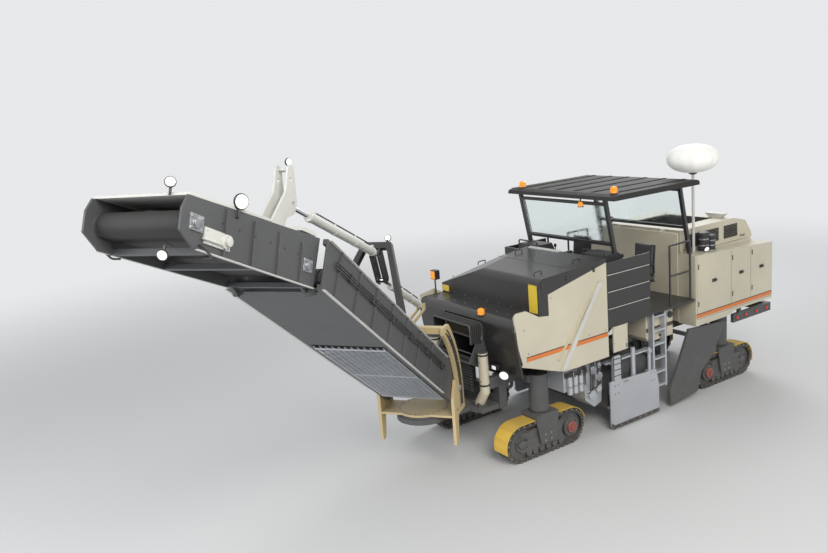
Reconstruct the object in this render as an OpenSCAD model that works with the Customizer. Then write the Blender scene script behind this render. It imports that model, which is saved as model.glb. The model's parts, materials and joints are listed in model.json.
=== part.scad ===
// Cold planer milling machine on four crawlers, parked with its milling drum raised
// and its discharge conveyor slewed to the left.
// +X is forward, +Y is the machine's left side and +Z is up. The origin lies on the
// ground under the middle of the whole outline. Lengths are in millimetres.

/* [Body] */
// Width over the side panels
body_w = 2500; // [2440:10:2560]
// Thickness of the body's panels and covers
panel_t = 30; // [20:5:40]
// Height of the side skirts' lower edge
skirt_z = 1330; // [1300:10:1360]
// Front end of the nose, ahead of the middle between the crawlers
nose_x = 2960; // [2900:10:3000]
// Height of the hood at the operator's platform
hood_top_z = 2960; // [2930:10:2990]
// Fall of the hood's top towards its front face, in degrees
hood_fall = 3; // [2:0.5:4]
// Fall of the side panels' top edge towards the nose, in degrees
panel_fall = 12; // [10:0.5:13]
// Rear end of the hood, where the platform starts
hood_rear_x = 1000; // [960:10:1040]
// Gap between neighbouring covers
seam = 6; // [4:1:10]

/* [Chassis] */
// Height of the main rails' lower face
rail_z = 1180; // [1160:10:1200]
// Height of a main rail
rail_h = 180; // [160:10:200]
// Width of a main rail
rail_w = 150; // [120:10:180]
// Distance of a main rail's middle from the centre line
rail_y = 600; // [580:10:620]
// Front axle line, where the front crawlers stand
front_axle_x = 2275; // [2240:5:2300]
// Rear axle line, behind the middle
rear_axle_x = -2217; // [-2240:1:-2200]
// Outer radius of a lifting column's sleeve
sleeve_r = 155; // [145:5:170]
// Radius of a lifting column
column_r = 120; // [110:5:130]
// Running clearance round columns and pins
pin_gap = 0.3; // [0.2:0.1:0.5]
// Radius of a lashing eye's hole
eye_r = 32; // [25:1:40]
// Thickness of a lashing eye's plate
eye_t = 40; // [30:5:50]
// Distance of a front lashing eye's hole below its rail
eye_drop = 60; // [50:5:70]
// Radius of the tow pin's hole at the rear
tow_r = 26; // [20:1:32]

/* [Crawlers] */
// Distance between the middles of a left and a right crawler
gauge = 1880; // [1840:10:1900]
// Length over a crawler's shoes
crawler_l = 1620; // [1580:10:1680]
// Height over a crawler's shoes
crawler_h = 600; // [580:10:620]
// Width of the track shoes
shoe_w = 300; // [280:10:320]
// Height of a shoe's lug
lug_h = 20; // [14:1:26]
// Thickness of the chain and shoe under the lugs
chain_t = 42; // [36:1:48]
// Shoes round one crawler
shoe_n = 34; // [28:2:40]

/* [Milling unit] */
// Drum axis, ahead of the middle between the crawlers
drum_x = 300; // [260:10:340]
// Drum axis above the ground
drum_z = 590; // [570:5:620]
// Radius of the circle through the picks' tips
drum_r = 490; // [470:5:510]
// Radius of the drum's tube
drum_tube_r = 380; // [360:5:400]
// Distance from the end picks to the machine's side
drum_inset = 250; // [245:5:270]
// Wall thickness of the drum housing
housing_t = 30; // [20:5:40]
// Thickness of a side plate at the edge of the cut
edge_t = 25; // [20:5:30]
// Height of a side plate's lower edge when parked
edge_z = 40; // [30:5:60]
// Height of a side plate
edge_h = 830; // [780:10:860]

/* [Platform and roof] */
// Height of the deck's tread
deck_z = 1840; // [1800:10:1880]
// Rear end of the deck, at the engine bay's front wall
bay_x = -1170; // [-1200:10:-1140]
// Roof top above the ground
roof_z = 3930; // [3880:10:3980]
// Front edge of the roof
roof_front_x = 810; // [780:10:840]
// Rear edge of the roof
roof_rear_x = -1270; // [-1300:10:-1240]
// Width of the roof
roof_w = 2570; // [2500:10:2600]
// Thickness of the roof
roof_t = 90; // [70:5:120]

/* [Rear body] */
// Rear face of the lockers and the radiator
rear_x = -3415; // [-3450:5:-3380]
// Width of a locker, measured from the side inwards
locker_w = 372; // [350:2:390]
// Height of the locker at its front end
locker_top_z = 2607; // [2580:1:2640]
// Fall of the locker's top to the rear
locker_fall = 120; // [80:5:140]
// Height of the engine hood's top
engine_hood_z = 3000; // [2960:10:3040]

/* [Discharge conveyor] */
// Slewing axis ahead of the middle between the crawlers
slew_x = 3850; // [3820:10:3880]
// Slewed to the left of straight ahead, in degrees
slew_rest = 35.8; // [30:0.1:42]
// Height of the lift pins above the ground
lift_z = 1300; // [1280:5:1320]
// Incline of the lower section, in degrees
lower_incline = 36; // [34:0.5:38]
// Incline of the upper section, in degrees
upper_incline = 23.3; // [22:0.1:25]
// Length of the lower section from the lift pins to the fold
lower_l = 4710; // [4600:10:4800]
// Length of the upper section from the fold to its end
upper_l = 2230; // [2150:10:2300]
// Width over the conveyor's side frames
conv_w = 1150; // [1100:10:1180]
// Width over the upper section's side frames
head_w = 980; // [960:10:1020]
// Depth of the side frames
conv_h = 550; // [520:10:580]
// Depth of the upper section at its head
head_h = 420; // [380:10:450]
// Width of the belt
belt_w = 850; // [800:10:900]
// Thickness of the belt
belt_t = 14; // [10:1:20]
// Radius of the round boot at the lift pins
boot_r = 265; // [250:5:280]
// Outer radius of a belt's turn round its end drum
belt_turn_r = 107; // [95:1:115]
// Radius of a carrying roller under the belt
roller_r = 44; // [35:1:50]

/* [Hidden] */
$fn = 48;

side_y = body_w / 2;
inner_y = side_y - panel_t;
track_y = gauge / 2;
wheel_r = crawler_h / 2;
wheel_x = crawler_l / 2 - wheel_r;
rail_top_z = rail_z + rail_h;

// Slewed plan frame of the conveyor: x along it, y to its left, z up.
function turned(a, p) = [p[0] * cos(a) - p[1] * sin(a), p[0] * sin(a) + p[1] * cos(a)];
fold_drop = 45;
fold_local = turned(lower_incline, [lower_l, -boot_r - fold_drop]);
fold_at = [fold_local[0], lift_z + fold_local[1]];
head_local = turned(upper_incline, [upper_l, fold_drop]);
head_far = fold_at[0] + head_local[0];

// The outline's limits, from which the origin is worked out.
corner = turned(slew_rest, [head_far, -head_w / 2]);
left_corner = turned(slew_rest, [head_far, head_w / 2]);
x_high = slew_x + corner[0];
y_high = left_corner[1];
bumper_x = rear_x - 60;
frame_x = (x_high + bumper_x) / 2;
frame_y = (y_high - roof_w / 2) / 2;

module placed() {
    translate([-frame_x, -frame_y, 0]) children();
}

// Both sides of the machine.
module both_sides() {
    children();
    mirror([0, 1, 0]) children();
}

// A plate cut from a side outline, between two distances from the centre line.
module side_cut(y_low, y_high) {
    translate([0, y_high, 0]) rotate([90, 0, 0]) linear_extrude(y_high - y_low) children();
}

// A box between two corners.
module block(low, high) {
    translate(low) cube(high - low);
}

// A straight round bar between two points in one upright plane, y being the same.
module bar(a, b, r) {
    d = b - a;
    l = norm(d);
    translate(a) rotate([0, acos(d[2] / l), atan2(d[1], d[0])]) cylinder(h = l, r = r, $fn = 24);
}

// Frames of the slewing conveyor.
module slewed() {
    placed() translate([slew_x, 0, 0]) rotate([0, 0, slew_rest]) children();
}
module lower_section() {
    slewed() translate([0, 0, lift_z]) rotate([0, -lower_incline, 0]) children();
}
module upper_section() {
    slewed() translate([fold_at[0], 0, fold_at[1]]) rotate([0, -upper_incline, 0]) children();
}

// Chassis

sleeve_low_z = 720;
sleeve_top_z = skirt_z - 10;
axle_box = 210;
tongue_z = 800;
tongue_t = 80;
ring_r = 400;
ring_h = 35;
tongue_top_z = tongue_z + tongue_t;
turntable_z = tongue_top_z + ring_h;
rail_front_x = 2850;
rail_rear_x = -2950;
drop_x = 2700;
eye_front_x = drop_x - 120;
eye_rear_x = rail_rear_x + 250;
// The rear bumper's lower edge, and the way that a rear eye's pin keeps below it.
bumper_z = 1130;
eye_way = 13;
eye_rear_drop = rail_z - bumper_z + eye_r + eye_way;
end_plate_t = 120;

module sleeve(x) {
    translate([x, track_y, sleeve_low_z])
        cylinder(h = sleeve_top_z - sleeve_low_z, r = sleeve_r);
}

// An eye stands under the rail, on its lower face.
module lashing_eye(x, drop) {
    plate_r = eye_r * 2.2;
    translate([x, rail_y, rail_z - drop]) rotate([90, 0, 0])
        translate([0, 0, -eye_t / 2]) linear_extrude(eye_t) difference() {
            union() {
                circle(r = plate_r);
                translate([-plate_r, 0]) square([2 * plate_r, drop + 1]);
            }
            circle(r = eye_r);
        }
}

module tow_clevis() {
    for (z = [rail_z - 60, rail_z + 60])
        difference() {
            block([rail_rear_x - 180, -80, z - 15], [rail_rear_x + 20, 80, z + 15]);
            translate([rail_rear_x - 110, 0, z - 20]) cylinder(h = 40, r = tow_r);
        }
}

// The two main rails with their lashing eyes.
module frame() {
    color("dimgray") placed() both_sides() {
        block([rail_rear_x, rail_y - rail_w / 2, rail_z],
            [rail_front_x, rail_y + rail_w / 2, rail_top_z]);
        lashing_eye(eye_front_x, eye_drop);
        lashing_eye(eye_rear_x, eye_rear_drop);
    }
}

// What joins the rails: the axle boxes with the columns' sleeves, and the end plate with the tow clevis.
module axle_boxes() {
    axles = [front_axle_x, rear_axle_x];
    color("dimgray") placed() {
        difference() {
            for (x = axles) {
                both_sides() sleeve(x);
                block([x - axle_box, -track_y, rail_z + 20], [x + axle_box, track_y, sleeve_top_z - 5]);
            }
            both_sides() for (x = axles) {
                translate([x, track_y, sleeve_low_z - 1])
                    cylinder(h = sleeve_top_z - sleeve_low_z - 30, r = column_r + pin_gap);
                block([x - axle_box - 1, rail_y - rail_w / 2, rail_z],
                    [x + axle_box + 1, rail_y + rail_w / 2, rail_top_z]);
            }
            block([front_axle_x - axle_box - 1, -chute_w / 2 - pin_gap, rail_z - 1],
                [front_axle_x + axle_box + 1, chute_w / 2 + pin_gap, rail_top_z + 1]);
        }
        block([rail_rear_x, -rail_y + rail_w / 2, rail_z - 75],
            [rail_rear_x + end_plate_t, rail_y - rail_w / 2, rail_top_z]);
        tow_clevis();
    }
}

// Bracket ahead of the rails with the slewing ring, and the curved legs of the nose.
leg_x = 3100;
leg_y = 640;
leg_r = 75;
leg_bend = 35;
leg_bend_z = 1150;
leg_top_z = 1790;
leg_foot_l = (leg_bend_z - tongue_top_z) / cos(leg_bend) - 20;

module tongue() {
    color("#4a4a4a") placed() {
        both_sides() block([drop_x, rail_y - rail_w / 2, tongue_z],
            [rail_front_x, rail_y + rail_w / 2, rail_z - pin_gap]);
        block([drop_x, -rail_y, tongue_z], [rail_front_x, rail_y, rail_z - 160]);
        translate([0, 0, tongue_z]) linear_extrude(tongue_t) polygon([
            [drop_x, -leg_y], [leg_x + leg_r, -leg_y], [leg_x + 2 * leg_r, -ring_r],
            [slew_x, -ring_r], [slew_x, ring_r], [leg_x + 2 * leg_r, ring_r],
            [leg_x + leg_r, leg_y], [drop_x, leg_y]
        ]);
        translate([slew_x, 0, tongue_z]) cylinder(h = tongue_t, r = ring_r + 30);
        translate([slew_x, 0, tongue_z]) cylinder(h = tongue_t + ring_h, r = ring_r);
        both_sides() {
            nose_leg();
            block([rail_front_x + pin_gap, leg_y - 45, rail_z], [leg_x, leg_y + 45, rail_top_z]);
        }
    }
}

module nose_leg() {
    translate([leg_x, leg_y, leg_bend_z]) cylinder(h = leg_top_z - leg_bend_z, r = leg_r);
    translate([leg_x, leg_y, leg_bend_z]) sphere(r = leg_r);
    translate([leg_x, leg_y, leg_bend_z]) rotate([180 - leg_bend, 0, 0])
        cylinder(h = leg_foot_l, r = leg_r);
    block([leg_x - leg_r, leg_y - 270, tongue_top_z - 1], [leg_x + leg_r, leg_y - 80, tongue_top_z + 70]);
}

// Portals on the rails that carry the hood and the side panels.
support_t = 50;
support_arm_z = 1700;

module body_supports() {
    color("#3a3a3a") placed() for (x = [hood_rear_x + 100, flap_x - 200]) {
        top_z = shoulder_line(x + support_t) - 2 * panel_t;
        both_sides() {
            block([x, rail_y - support_t, rail_top_z + pin_gap],
                [x + support_t, rail_y + support_t, top_z]);
            block([x, rail_y, support_arm_z], [x + support_t, inner_y - pin_gap, support_arm_z + support_t]);
        }
        block([x, -rail_y, top_z - support_t], [x + support_t, rail_y, top_z]);
        // Stubs up to the hood's flat top, left of its shoulder.
        for (y = [0, rail_y])
            block([x, y - support_t, top_z - 1], [x + support_t, y + support_t,
                hood_line(x + support_t + panel_t) - panel_t - pin_gap]);
    }
}

// Front body

flap_x = 2260;
flap_z = 2302;
nose_low_z = 1450;
hood_face_x = nose_x - 510;
hood_r = 110;
ledge_z = 2340;
ledge_r = 130;
hump_z = ledge_z + 124;
hump_r = 84;
shoulder_y = -600;
shoulder_rise = 10;
shoulder_roll = 18.5;
shoulder_fall = 9.9;

function hood_line(x) = hood_top_z - (x - hood_rear_x) * tan(hood_fall);
function shoulder_line(x) = hood_top_z + shoulder_rise - (x - hood_rear_x) * tan(shoulder_fall);
function panel_line(x) = hood_top_z - 2 * panel_t - seam - (x - hood_rear_x) * tan(panel_fall);
// Front face of the nose at a height between its lower edge and the bend above it.
function nose_face(z) = nose_x - 110 + 70 * (z - nose_low_z) / (1900 - nose_low_z);

// A tall hood with a rounded front edge, and ahead of it the lower nose with a rounded ledge.
module nose_outline() {
    face_top = hood_line(hood_face_x - hood_r) - hood_r / cos(hood_fall);
    polygon(concat(
        [[hood_rear_x, hood_line(hood_rear_x)]],
        arc_points([hood_face_x - hood_r, face_top], hood_r, 90 - hood_fall, 0),
        [[hood_face_x, ledge_z]],
        arc_points([nose_x - ledge_r, ledge_z - ledge_r], ledge_r, 90, -7),
        [[nose_x - 40, 1900], [nose_x - 110, nose_low_z], [hood_rear_x, nose_low_z]]
    ));
}

// Points of an arc round a centre, which make a rounded edge of a sheet.
arc_n = 10;

function arc_points(centre, r, first, last) =
    [for (k = [0:arc_n]) let (a = first + (last - first) * k / arc_n) centre + r * [cos(a), sin(a)]];

// The space below the hood's right shoulder, which slopes down for a view of the cut's edge.
module under_shoulder(depth) {
    translate([hood_rear_x, shoulder_y, hood_top_z + shoulder_rise])
        rotate([shoulder_roll, shoulder_fall, 0])
        translate([-3000, -4000, -4000 - depth]) cube([8000, 8000, 4000]);
}

// What the side panels fill in the hood's side walls.
module panel_gap(y_low, y_high) {
    side_cut(y_low, y_high) polygon([
        [hood_rear_x - 100, nose_low_z - 10], [nose_x - 110 - panel_t, nose_low_z - 10],
        [nose_x - 40 - panel_t, 1900], [nose_x - 4 - panel_t, 2180], [nose_x + 10, 2180],
        [nose_x + 10, hump_z + 100], [hood_face_x, hump_z + 100], [hood_face_x, ledge_z - 10],
        [flap_x, flap_z], [flap_x, panel_line(flap_x) + seam],
        [hood_rear_x - 100, panel_line(hood_rear_x - 100) + seam]
    ]);
}

module front_hood() {
    color("#1c1c1c") placed() difference() {
        intersection() {
            side_cut(-side_y, side_y) nose_outline();
            under_shoulder(0);
        }
        intersection() {
            side_cut(-inner_y, inner_y) translate([-panel_t, -panel_t]) nose_outline();
            under_shoulder(panel_t);
        }
        panel_gap(inner_y - 1, side_y + 1);
        intersection() {
            panel_gap(-side_y - 1, 1 - inner_y);
            under_shoulder(panel_t);
        }
        block([nose_x - 400, -chute_w / 2 - 40, nose_low_z - 10],
            [nose_x + 100, chute_w / 2 + 40, 2230]);
    }
}

module side_panel() {
    hump_x = nose_x - 16 - hump_r;
    side_cut(inner_y, side_y) {
        polygon([
            [hood_rear_x, skirt_z], [2000, skirt_z], [2840, 1620],
            [nose_x - 110 - panel_t - seam, nose_low_z + 200], [nose_x - 40 - panel_t - seam, 1900],
            [nose_x - 40, ledge_z - ledge_r], [hump_x + hump_r, hump_z - hump_r],
            [hump_x, hump_z - hump_r], [hump_x, hump_z], [hump_x - 160, hump_z],
            [hood_face_x + seam, ledge_z - 10 - seam], [flap_x - seam, flap_z - seam],
            [flap_x - seam, panel_line(flap_x)], [hood_rear_x, panel_line(hood_rear_x)]
        ]);
        translate([hump_x, hump_z - hump_r]) circle(r = hump_r);
    }
}

// A flat strut and a thin bar run down over the panel from the platform.
strut_t = 40;

strut_low_z = skirt_z + 40;
strut_top_z = skirt_z + 1290;

module side_panels() {
    color("#d8d2b8") placed() {
        side_panel();
        intersection() {
            mirror([0, 1, 0]) side_panel();
            under_shoulder(panel_t + seam);
        }
        both_sides() {
            side_cut(side_y - 1, side_y + strut_t) {
                polygon([
                    [hood_rear_x + 130, strut_top_z], [hood_rear_x + 220, strut_top_z],
                    [hood_rear_x + 1090, strut_low_z], [hood_rear_x + 990, strut_low_z]
                ]);
                polygon([
                    [hood_rear_x + 330, strut_top_z - 150], [hood_rear_x + 350, strut_top_z - 150],
                    [hood_rear_x + 1130, strut_low_z + 190], [hood_rear_x + 1110, strut_low_z + 190]
                ]);
            }
            tag_plate();
        }
    }
}

// A blank plate that hangs under the deck's edge beside the panel.
module tag_plate() {
    block([hood_rear_x - 430, side_y - 8, strut_low_z], [hood_rear_x - 100, side_y + 14, deck_z - deck_t]);
}

// Primary conveyor, from the drum up through the nose

chute_w = 900;
chute_h = 420;
chute_t = 20;
chute_x = 1100;
chute_z = 430;
chute_incline = 28.5;
chute_end_x = 3230;
chute_l = (chute_end_x - chute_x) / cos(chute_incline);

module chute_frame() {
    translate([chute_x, 0, chute_z]) rotate([0, -chute_incline, 0]) children();
}

module primary_conveyor() {
    color("#3a3a3a") placed() chute_frame() {
        difference() {
            block([0, -chute_w / 2, 0], [chute_l, chute_w / 2, chute_h]);
            block([-1, -chute_w / 2 + chute_t, chute_t],
                [chute_l + 1, chute_w / 2 - chute_t, chute_h - chute_t]);
        }
        block([chute_t, -chute_w / 2 + chute_t, 150], [chute_l - 60, chute_w / 2 - chute_t, 170]);
    }
}

// Rubber folds round the primary conveyor's head, ahead of the nose.
module transfer_bellows() {
    color("#2a2a2a") placed() difference() {
        for (i = [0:4])
            block([nose_x + 24 + i * 44, -chute_w / 2 - 30 - (i % 2) * 25, 1640],
                [nose_x + 68 + i * 44, chute_w / 2 + 30 + (i % 2) * 25, 2190 + (i % 2) * 25]);
        for (i = [0:11])
            block([3110 - (i % 2) * 15, -370 - (i % 2) * 25, 1080 + i * 48],
                [3165 + (i % 2) * 15, 370 + (i % 2) * 25, 1128 + i * 48]);
        chute_frame() block([0, -chute_w / 2 - pin_gap, -pin_gap],
            [chute_l + 200, chute_w / 2 + pin_gap, chute_h + pin_gap]);
        block([nose_x, -chute_w / 2 - pin_gap, 1600], [nose_x + 400, chute_w / 2 + pin_gap, 1900]);
    }
}

// Milling unit

drum_w = body_w - 2 * drum_inset;
housing_r = drum_r + 50;
housing_y = drum_w / 2 + 20;
housing_low_z = 330;

module housing_outline(r) {
    translate([drum_x, drum_z]) circle(r = r, $fn = 96);
    translate([drum_x - r, housing_low_z]) square([2 * r, drum_z - housing_low_z]);
}

module drum_housing() {
    color("#4a4a4a") placed() {
        difference() {
            side_cut(-housing_y - housing_t, housing_y + housing_t) housing_outline(housing_r + housing_t);
            side_cut(-housing_y, housing_y) housing_outline(housing_r);
            block([drum_x - 2 * housing_r, -side_y, 0], [drum_x + 2 * housing_r, side_y, housing_low_z]);
            block([drum_x - housing_r, -housing_y, 0],
                [drum_x + housing_r, housing_y, housing_low_z + 10]);
            block([drum_x, -chute_w / 2, housing_low_z - 1],
                [drum_x + 2 * housing_r, chute_w / 2, chute_z + chute_h]);
            side_cut(-side_y, side_y) translate([drum_x, drum_z]) circle(r = 120 + pin_gap);
        }
        both_sides() block([drum_x - 200, rail_y - rail_w / 2, drum_z + housing_r],
            [drum_x + 200, rail_y + rail_w / 2, rail_z - pin_gap]);
    }
}

module milling_drum() {
    color("#6b6b6b") placed() translate([drum_x, 0, drum_z]) rotate([90, 0, 0]) {
        translate([0, 0, -drum_w / 2 + 10]) cylinder(h = drum_w - 20, r = drum_tube_r, $fn = 96);
        translate([0, 0, -housing_y - housing_t]) cylinder(h = 2 * (housing_y + housing_t), r = 120);
        for (i = [0:pick_n - 1])
            rotate([0, 0, i * pick_turn]) translate([0, 0, -pick_span / 2 + i * pick_span / (pick_n - 1)])
                pick();
    }
}

// A pick in its holder: a block on the tube and a cone that leans into the cut.
pick_n = 64;
pick_turn = 78;
pick_span = drum_w - 120;
holder_h = 60;
holder_w = 56;
pick_lean = 40;
pick_foot = 25;
pick_r = 24;
pick_tip_r = 6;
pick_l = (drum_r - drum_tube_r - pick_foot) / cos(pick_lean) * 0.92;

module pick() {
    translate([drum_tube_r - 8, -40, -holder_w / 2]) cube([holder_h, 70, holder_w]);
    translate([drum_tube_r + pick_foot, 0, 0]) rotate([0, 0, -pick_lean]) rotate([0, 90, 0])
        cylinder(h = pick_l, r1 = pick_r, r2 = pick_tip_r, $fn = 24);
}

// Guards behind the drum that close the cut towards the rear crawlers.
module side_shields() {
    color("#2f2f2f") placed() both_sides() {
        side_cut(inner_y - 20, side_y) polygon([
            [-1000, skirt_z - seam], [-2060, skirt_z - seam - 80], [-1740, 860], [-1740, 760],
            [-1330, 470], [-1210, 120], [-500, 60], [-470, 300]
        ]);
        for (x = [-1040, -1700])
            block([x, rail_y + rail_w / 2, rail_z + 10], [x + 60, inner_y - 19, rail_z + 70]);
    }
}

edge_x_low = -200;
edge_x_high = 980;
edge_top_z = edge_z + edge_h;
edge_post_x = edge_x_high - 280;
edge_post_w = 200;
edge_post_z = edge_top_z + 420;
guide_r = 30;
guide_x = [edge_x_low + 150, edge_x_high - 150];
guide_y = side_y - edge_t - 65;
side_jack_x = edge_x_low + 550;
side_jack_r = 40;
side_rod_r = 20;
side_rod_z = edge_z + 260;
side_jack_z = side_rod_z + 460;
side_jack_top_z = skirt_z - 20;

// The plate with a tall leg at its front, two sliding pockets and the bracket of its rod.
module side_plate_body() {
    side_cut(side_y - edge_t - 15, side_y - 15) polygon([
        [edge_x_low, edge_z], [edge_x_high - 60, edge_z], [edge_x_high, edge_z + 60],
        [edge_x_high, edge_top_z], [edge_post_x + edge_post_w, edge_top_z],
        [edge_post_x + edge_post_w, edge_post_z], [edge_post_x + 40, edge_post_z],
        [edge_post_x, edge_post_z - 60], [edge_post_x, edge_top_z - 20],
        [edge_x_low + 60, edge_top_z - 60], [edge_x_low, edge_z + 500]
    ]);
    for (x = guide_x)
        difference() {
            block([x - 60, guide_y - 50, edge_top_z - 260], [x + 60, guide_y + 50, edge_top_z - 60]);
            translate([x, guide_y, 0]) cylinder(h = edge_top_z, r = guide_r + pin_gap);
        }
    block([side_jack_x - 40, guide_y - 40, side_rod_z - 40], [side_jack_x + 40, guide_y + 50, side_rod_z]);
}

module side_rod() {
    translate([side_jack_x, guide_y, side_rod_z]) cylinder(h = side_jack_z - side_rod_z + 120, r = side_rod_r);
}

module side_rod_left() {
    color("silver") placed() side_rod();
}

module side_rod_right() {
    color("silver") placed() mirror([0, 1, 0]) side_rod();
}

module side_jack() {
    difference() {
        union() {
            translate([side_jack_x, guide_y, side_jack_z])
                cylinder(h = side_jack_top_z - side_jack_z, r = side_jack_r);
            translate([side_jack_x, guide_y, side_jack_z]) cylinder(h = 60, r = side_jack_r + 10);
        }
        translate([side_jack_x, guide_y, side_jack_z - 1])
            cylinder(h = side_jack_top_z - side_jack_z - 40, r = side_rod_r + pin_gap);
    }
}

module side_plate_left() {
    color("#8f959c") placed() side_plate_body();
}

module side_plate_right() {
    color("#8f959c") placed() mirror([0, 1, 0]) side_plate_body();
}

// Guide bars of the side plates, and the service units beside the chassis rails.
module service_units() {
    color("#9aa0a6") placed() both_sides() {
        for (x = guide_x) {
            translate([x, guide_y, housing_low_z]) cylinder(h = rail_z - 300, r = guide_r);
            block([x - 40, housing_y + housing_t, rail_z - 60], [x + 40, guide_y + 35, rail_z]);
            block([x - 40, housing_y + housing_t, housing_low_z], [x + 40, guide_y + 35, housing_low_z + 40]);
        }
        difference() {
            block([edge_x_low + 100, housing_y + housing_t, rail_z - 30],
                [edge_x_high, side_y - 100, rail_z]);
            translate([side_jack_x, guide_y, rail_z - 31]) cylinder(h = 32, r = side_rod_r + pin_gap);
        }
        side_jack();
        valve_stack();
        side_tank();
    }
}

// Valve blocks and two pumps that hang on the rail between the side plate and the front crawler.
stack_x = 1060;
stack_y = side_y - 150;
stack_z = 900;
tank_lap = 50;

module valve_stack() {
    block([stack_x, rail_y + rail_w / 2, stack_z], [stack_x + 320, stack_y, skirt_z - 20]);
    side_cut(stack_y - 380, stack_y - 20) polygon([
        [stack_x - 50, stack_z + 1], [stack_x + 360, stack_z + 1], [stack_x + 340, stack_z - 260],
        [stack_x + 140, stack_z - 430], [stack_x - 20, stack_z - 380]
    ]);
    for (p = [[90, 110, 70], [235, 250, 60], [85, 300, 45]])
        side_cut(stack_y - 1, stack_y + 65) translate([stack_x + p[0], stack_z + p[1]]) circle(r = p[2]);
    for (p = [[80, -110, 60], [230, -180, 75]])
        side_cut(stack_y - 21, stack_y + 45) translate([stack_x + p[0], stack_z + p[1]]) circle(r = p[2]);
}

// A tank with three accumulators in front of the valve blocks, above the crawler.
module side_tank() {
    tank_x = stack_x + 380;
    block([tank_x, rail_y + rail_w / 2, stack_z - 20], [tank_x + 400, stack_y - 50, rail_z + tank_lap]);
    for (x = [60, 180, 300])
        translate([tank_x + x, stack_y - 10, stack_z - 60]) cylinder(h = 300, r = 45);
}

// Cream tanks under the deck's edges, on the rails' outer faces.
tank_low_z = rail_z + 80;
tank_front_x = -80;
tank_rear_x = -770;
tank_y = side_y - 170;

module deck_tanks() {
    color("#d8d2b8") placed() both_sides()
        side_cut(rail_y + rail_w / 2, tank_y) polygon([
            [tank_rear_x, tank_low_z], [tank_front_x - 60, tank_low_z], [tank_front_x, tank_low_z + 80],
            [tank_front_x, tank_low_z + 500], [tank_rear_x, tank_low_z + 500]
        ]);
}

// Operator's platform

deck_t = 40;

module platform() {
    color("#2b2b2b") placed() {
        block([bay_x + 1, -side_y, deck_z - deck_t], [hood_rear_x - seam, side_y, deck_z]);
        both_sides() {
            for (x = [-900, 700])
                block([x, rail_y - 60, rail_top_z], [x + 120, rail_y + 60, deck_z - deck_t + 1]);
            block([0, inner_y, deck_z - 1], [hood_rear_x - seam, side_y, 2880]);
        }
        block([hood_rear_x - panel_t - seam, -inner_y - 1, deck_z - 1],
            [hood_rear_x - seam, inner_y + 1, 2880]);
    }
}

rail_tube_r = 18;

module railings() {
    color("#222222") placed() both_sides() {
        for (x = [-40, -560, bay_x + 80])
            translate([x, side_y - 40, deck_z]) cylinder(h = 1050, r = rail_tube_r, $fn = 24);
        for (z = [deck_z + 520, deck_z + 1050])
            bar([bay_x + 80, side_y - 40, z], [-560, side_y - 40, z], rail_tube_r);
    }
}

console_top_z = 2940;

module consoles() {
    color("#3b3b3b") placed() both_sides()
        side_cut(540, 1060) polygon([
            [450, deck_z], [800, deck_z], [880, 2700], [800, console_top_z], [480, console_top_z],
            [420, 2820], [480, 2700]
        ]);
}

module seats() {
    color("#222222") placed() both_sides() {
        translate([-250, 750, deck_z]) cylinder(h = 420, r = 60);
        block([-480, 520, deck_z + 419], [-20, 980, deck_z + 520]);
        side_cut(540, 960) polygon([
            [-480, deck_z + 519], [-370, deck_z + 519], [-440, deck_z + 1080], [-540, deck_z + 1080]
        ]);
    }
}

rung_step = 250;

module ladders() {
    color("#555555") placed() both_sides() {
        for (x = [-470, -165])
            block([x, side_y - 160, 420], [x + 40, side_y - 60, deck_z - deck_t]);
        for (z = [450:rung_step:1700])
            block([-440, side_y - 160, z], [-150, side_y - 60, z + 30]);
    }
}

// Rear body

locker_front_x = bay_x - 15;
function locker_top(x) =
    locker_top_z - locker_fall * (locker_front_x - x) / (locker_front_x - rear_x);
bay_y = side_y - locker_w;
bay_z = rail_top_z;
bay_top_z = 2560;
hood_front_x = bay_x - panel_t - 80;
hood_hinge_y = 500;
hood_knuckle_w = 40;
hood_pin_r = 12;
hood_pin_x = hood_front_x + 32;
hood_pin_z = engine_hood_z - 25;

module engine_bay() {
    color("#d8d2b8") placed() {
        difference() {
            block([rear_x + 120, -bay_y + 1, bay_z], [bay_x, bay_y - 1, bay_top_z]);
            block([rear_x + 120 - 1, -bay_y + panel_t, bay_z + panel_t],
                [bay_x - panel_t, bay_y - panel_t, bay_top_z + 1]);
        }
        block([bay_x - panel_t, -bay_y + 1, bay_top_z - 1], [bay_x, bay_y - 1, engine_hood_z - 30]);
        both_sides() hood_knuckle(hood_hinge_y - hood_knuckle_w - pin_gap, bay_x - panel_t + 1);
        both_sides() side_cut(hood_hinge_y - hood_knuckle_w - pin_gap, hood_hinge_y + hood_knuckle_w)
            translate([hood_pin_x, hood_pin_z]) circle(r = hood_pin_r);
    }
}

// Knuckle of the engine hood's hinge, from the pin to the sheet at x = to.
module hood_knuckle(y, to) {
    side_cut(y, y + hood_knuckle_w) difference() {
        union() {
            translate([hood_pin_x, hood_pin_z]) circle(r = 22);
            translate([min(hood_pin_x, to), hood_pin_z - 22])
                square([abs(to - hood_pin_x), 22]);
        }
        translate([hood_pin_x, hood_pin_z]) circle(r = hood_pin_r + pin_gap);
    }
}

module engine() {
    color("#555555") placed()
        block([rear_x + 615, -bay_y + 458, bay_z + panel_t], [bay_x - 330, bay_y - 458, bay_top_z - 210]);
}

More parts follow.
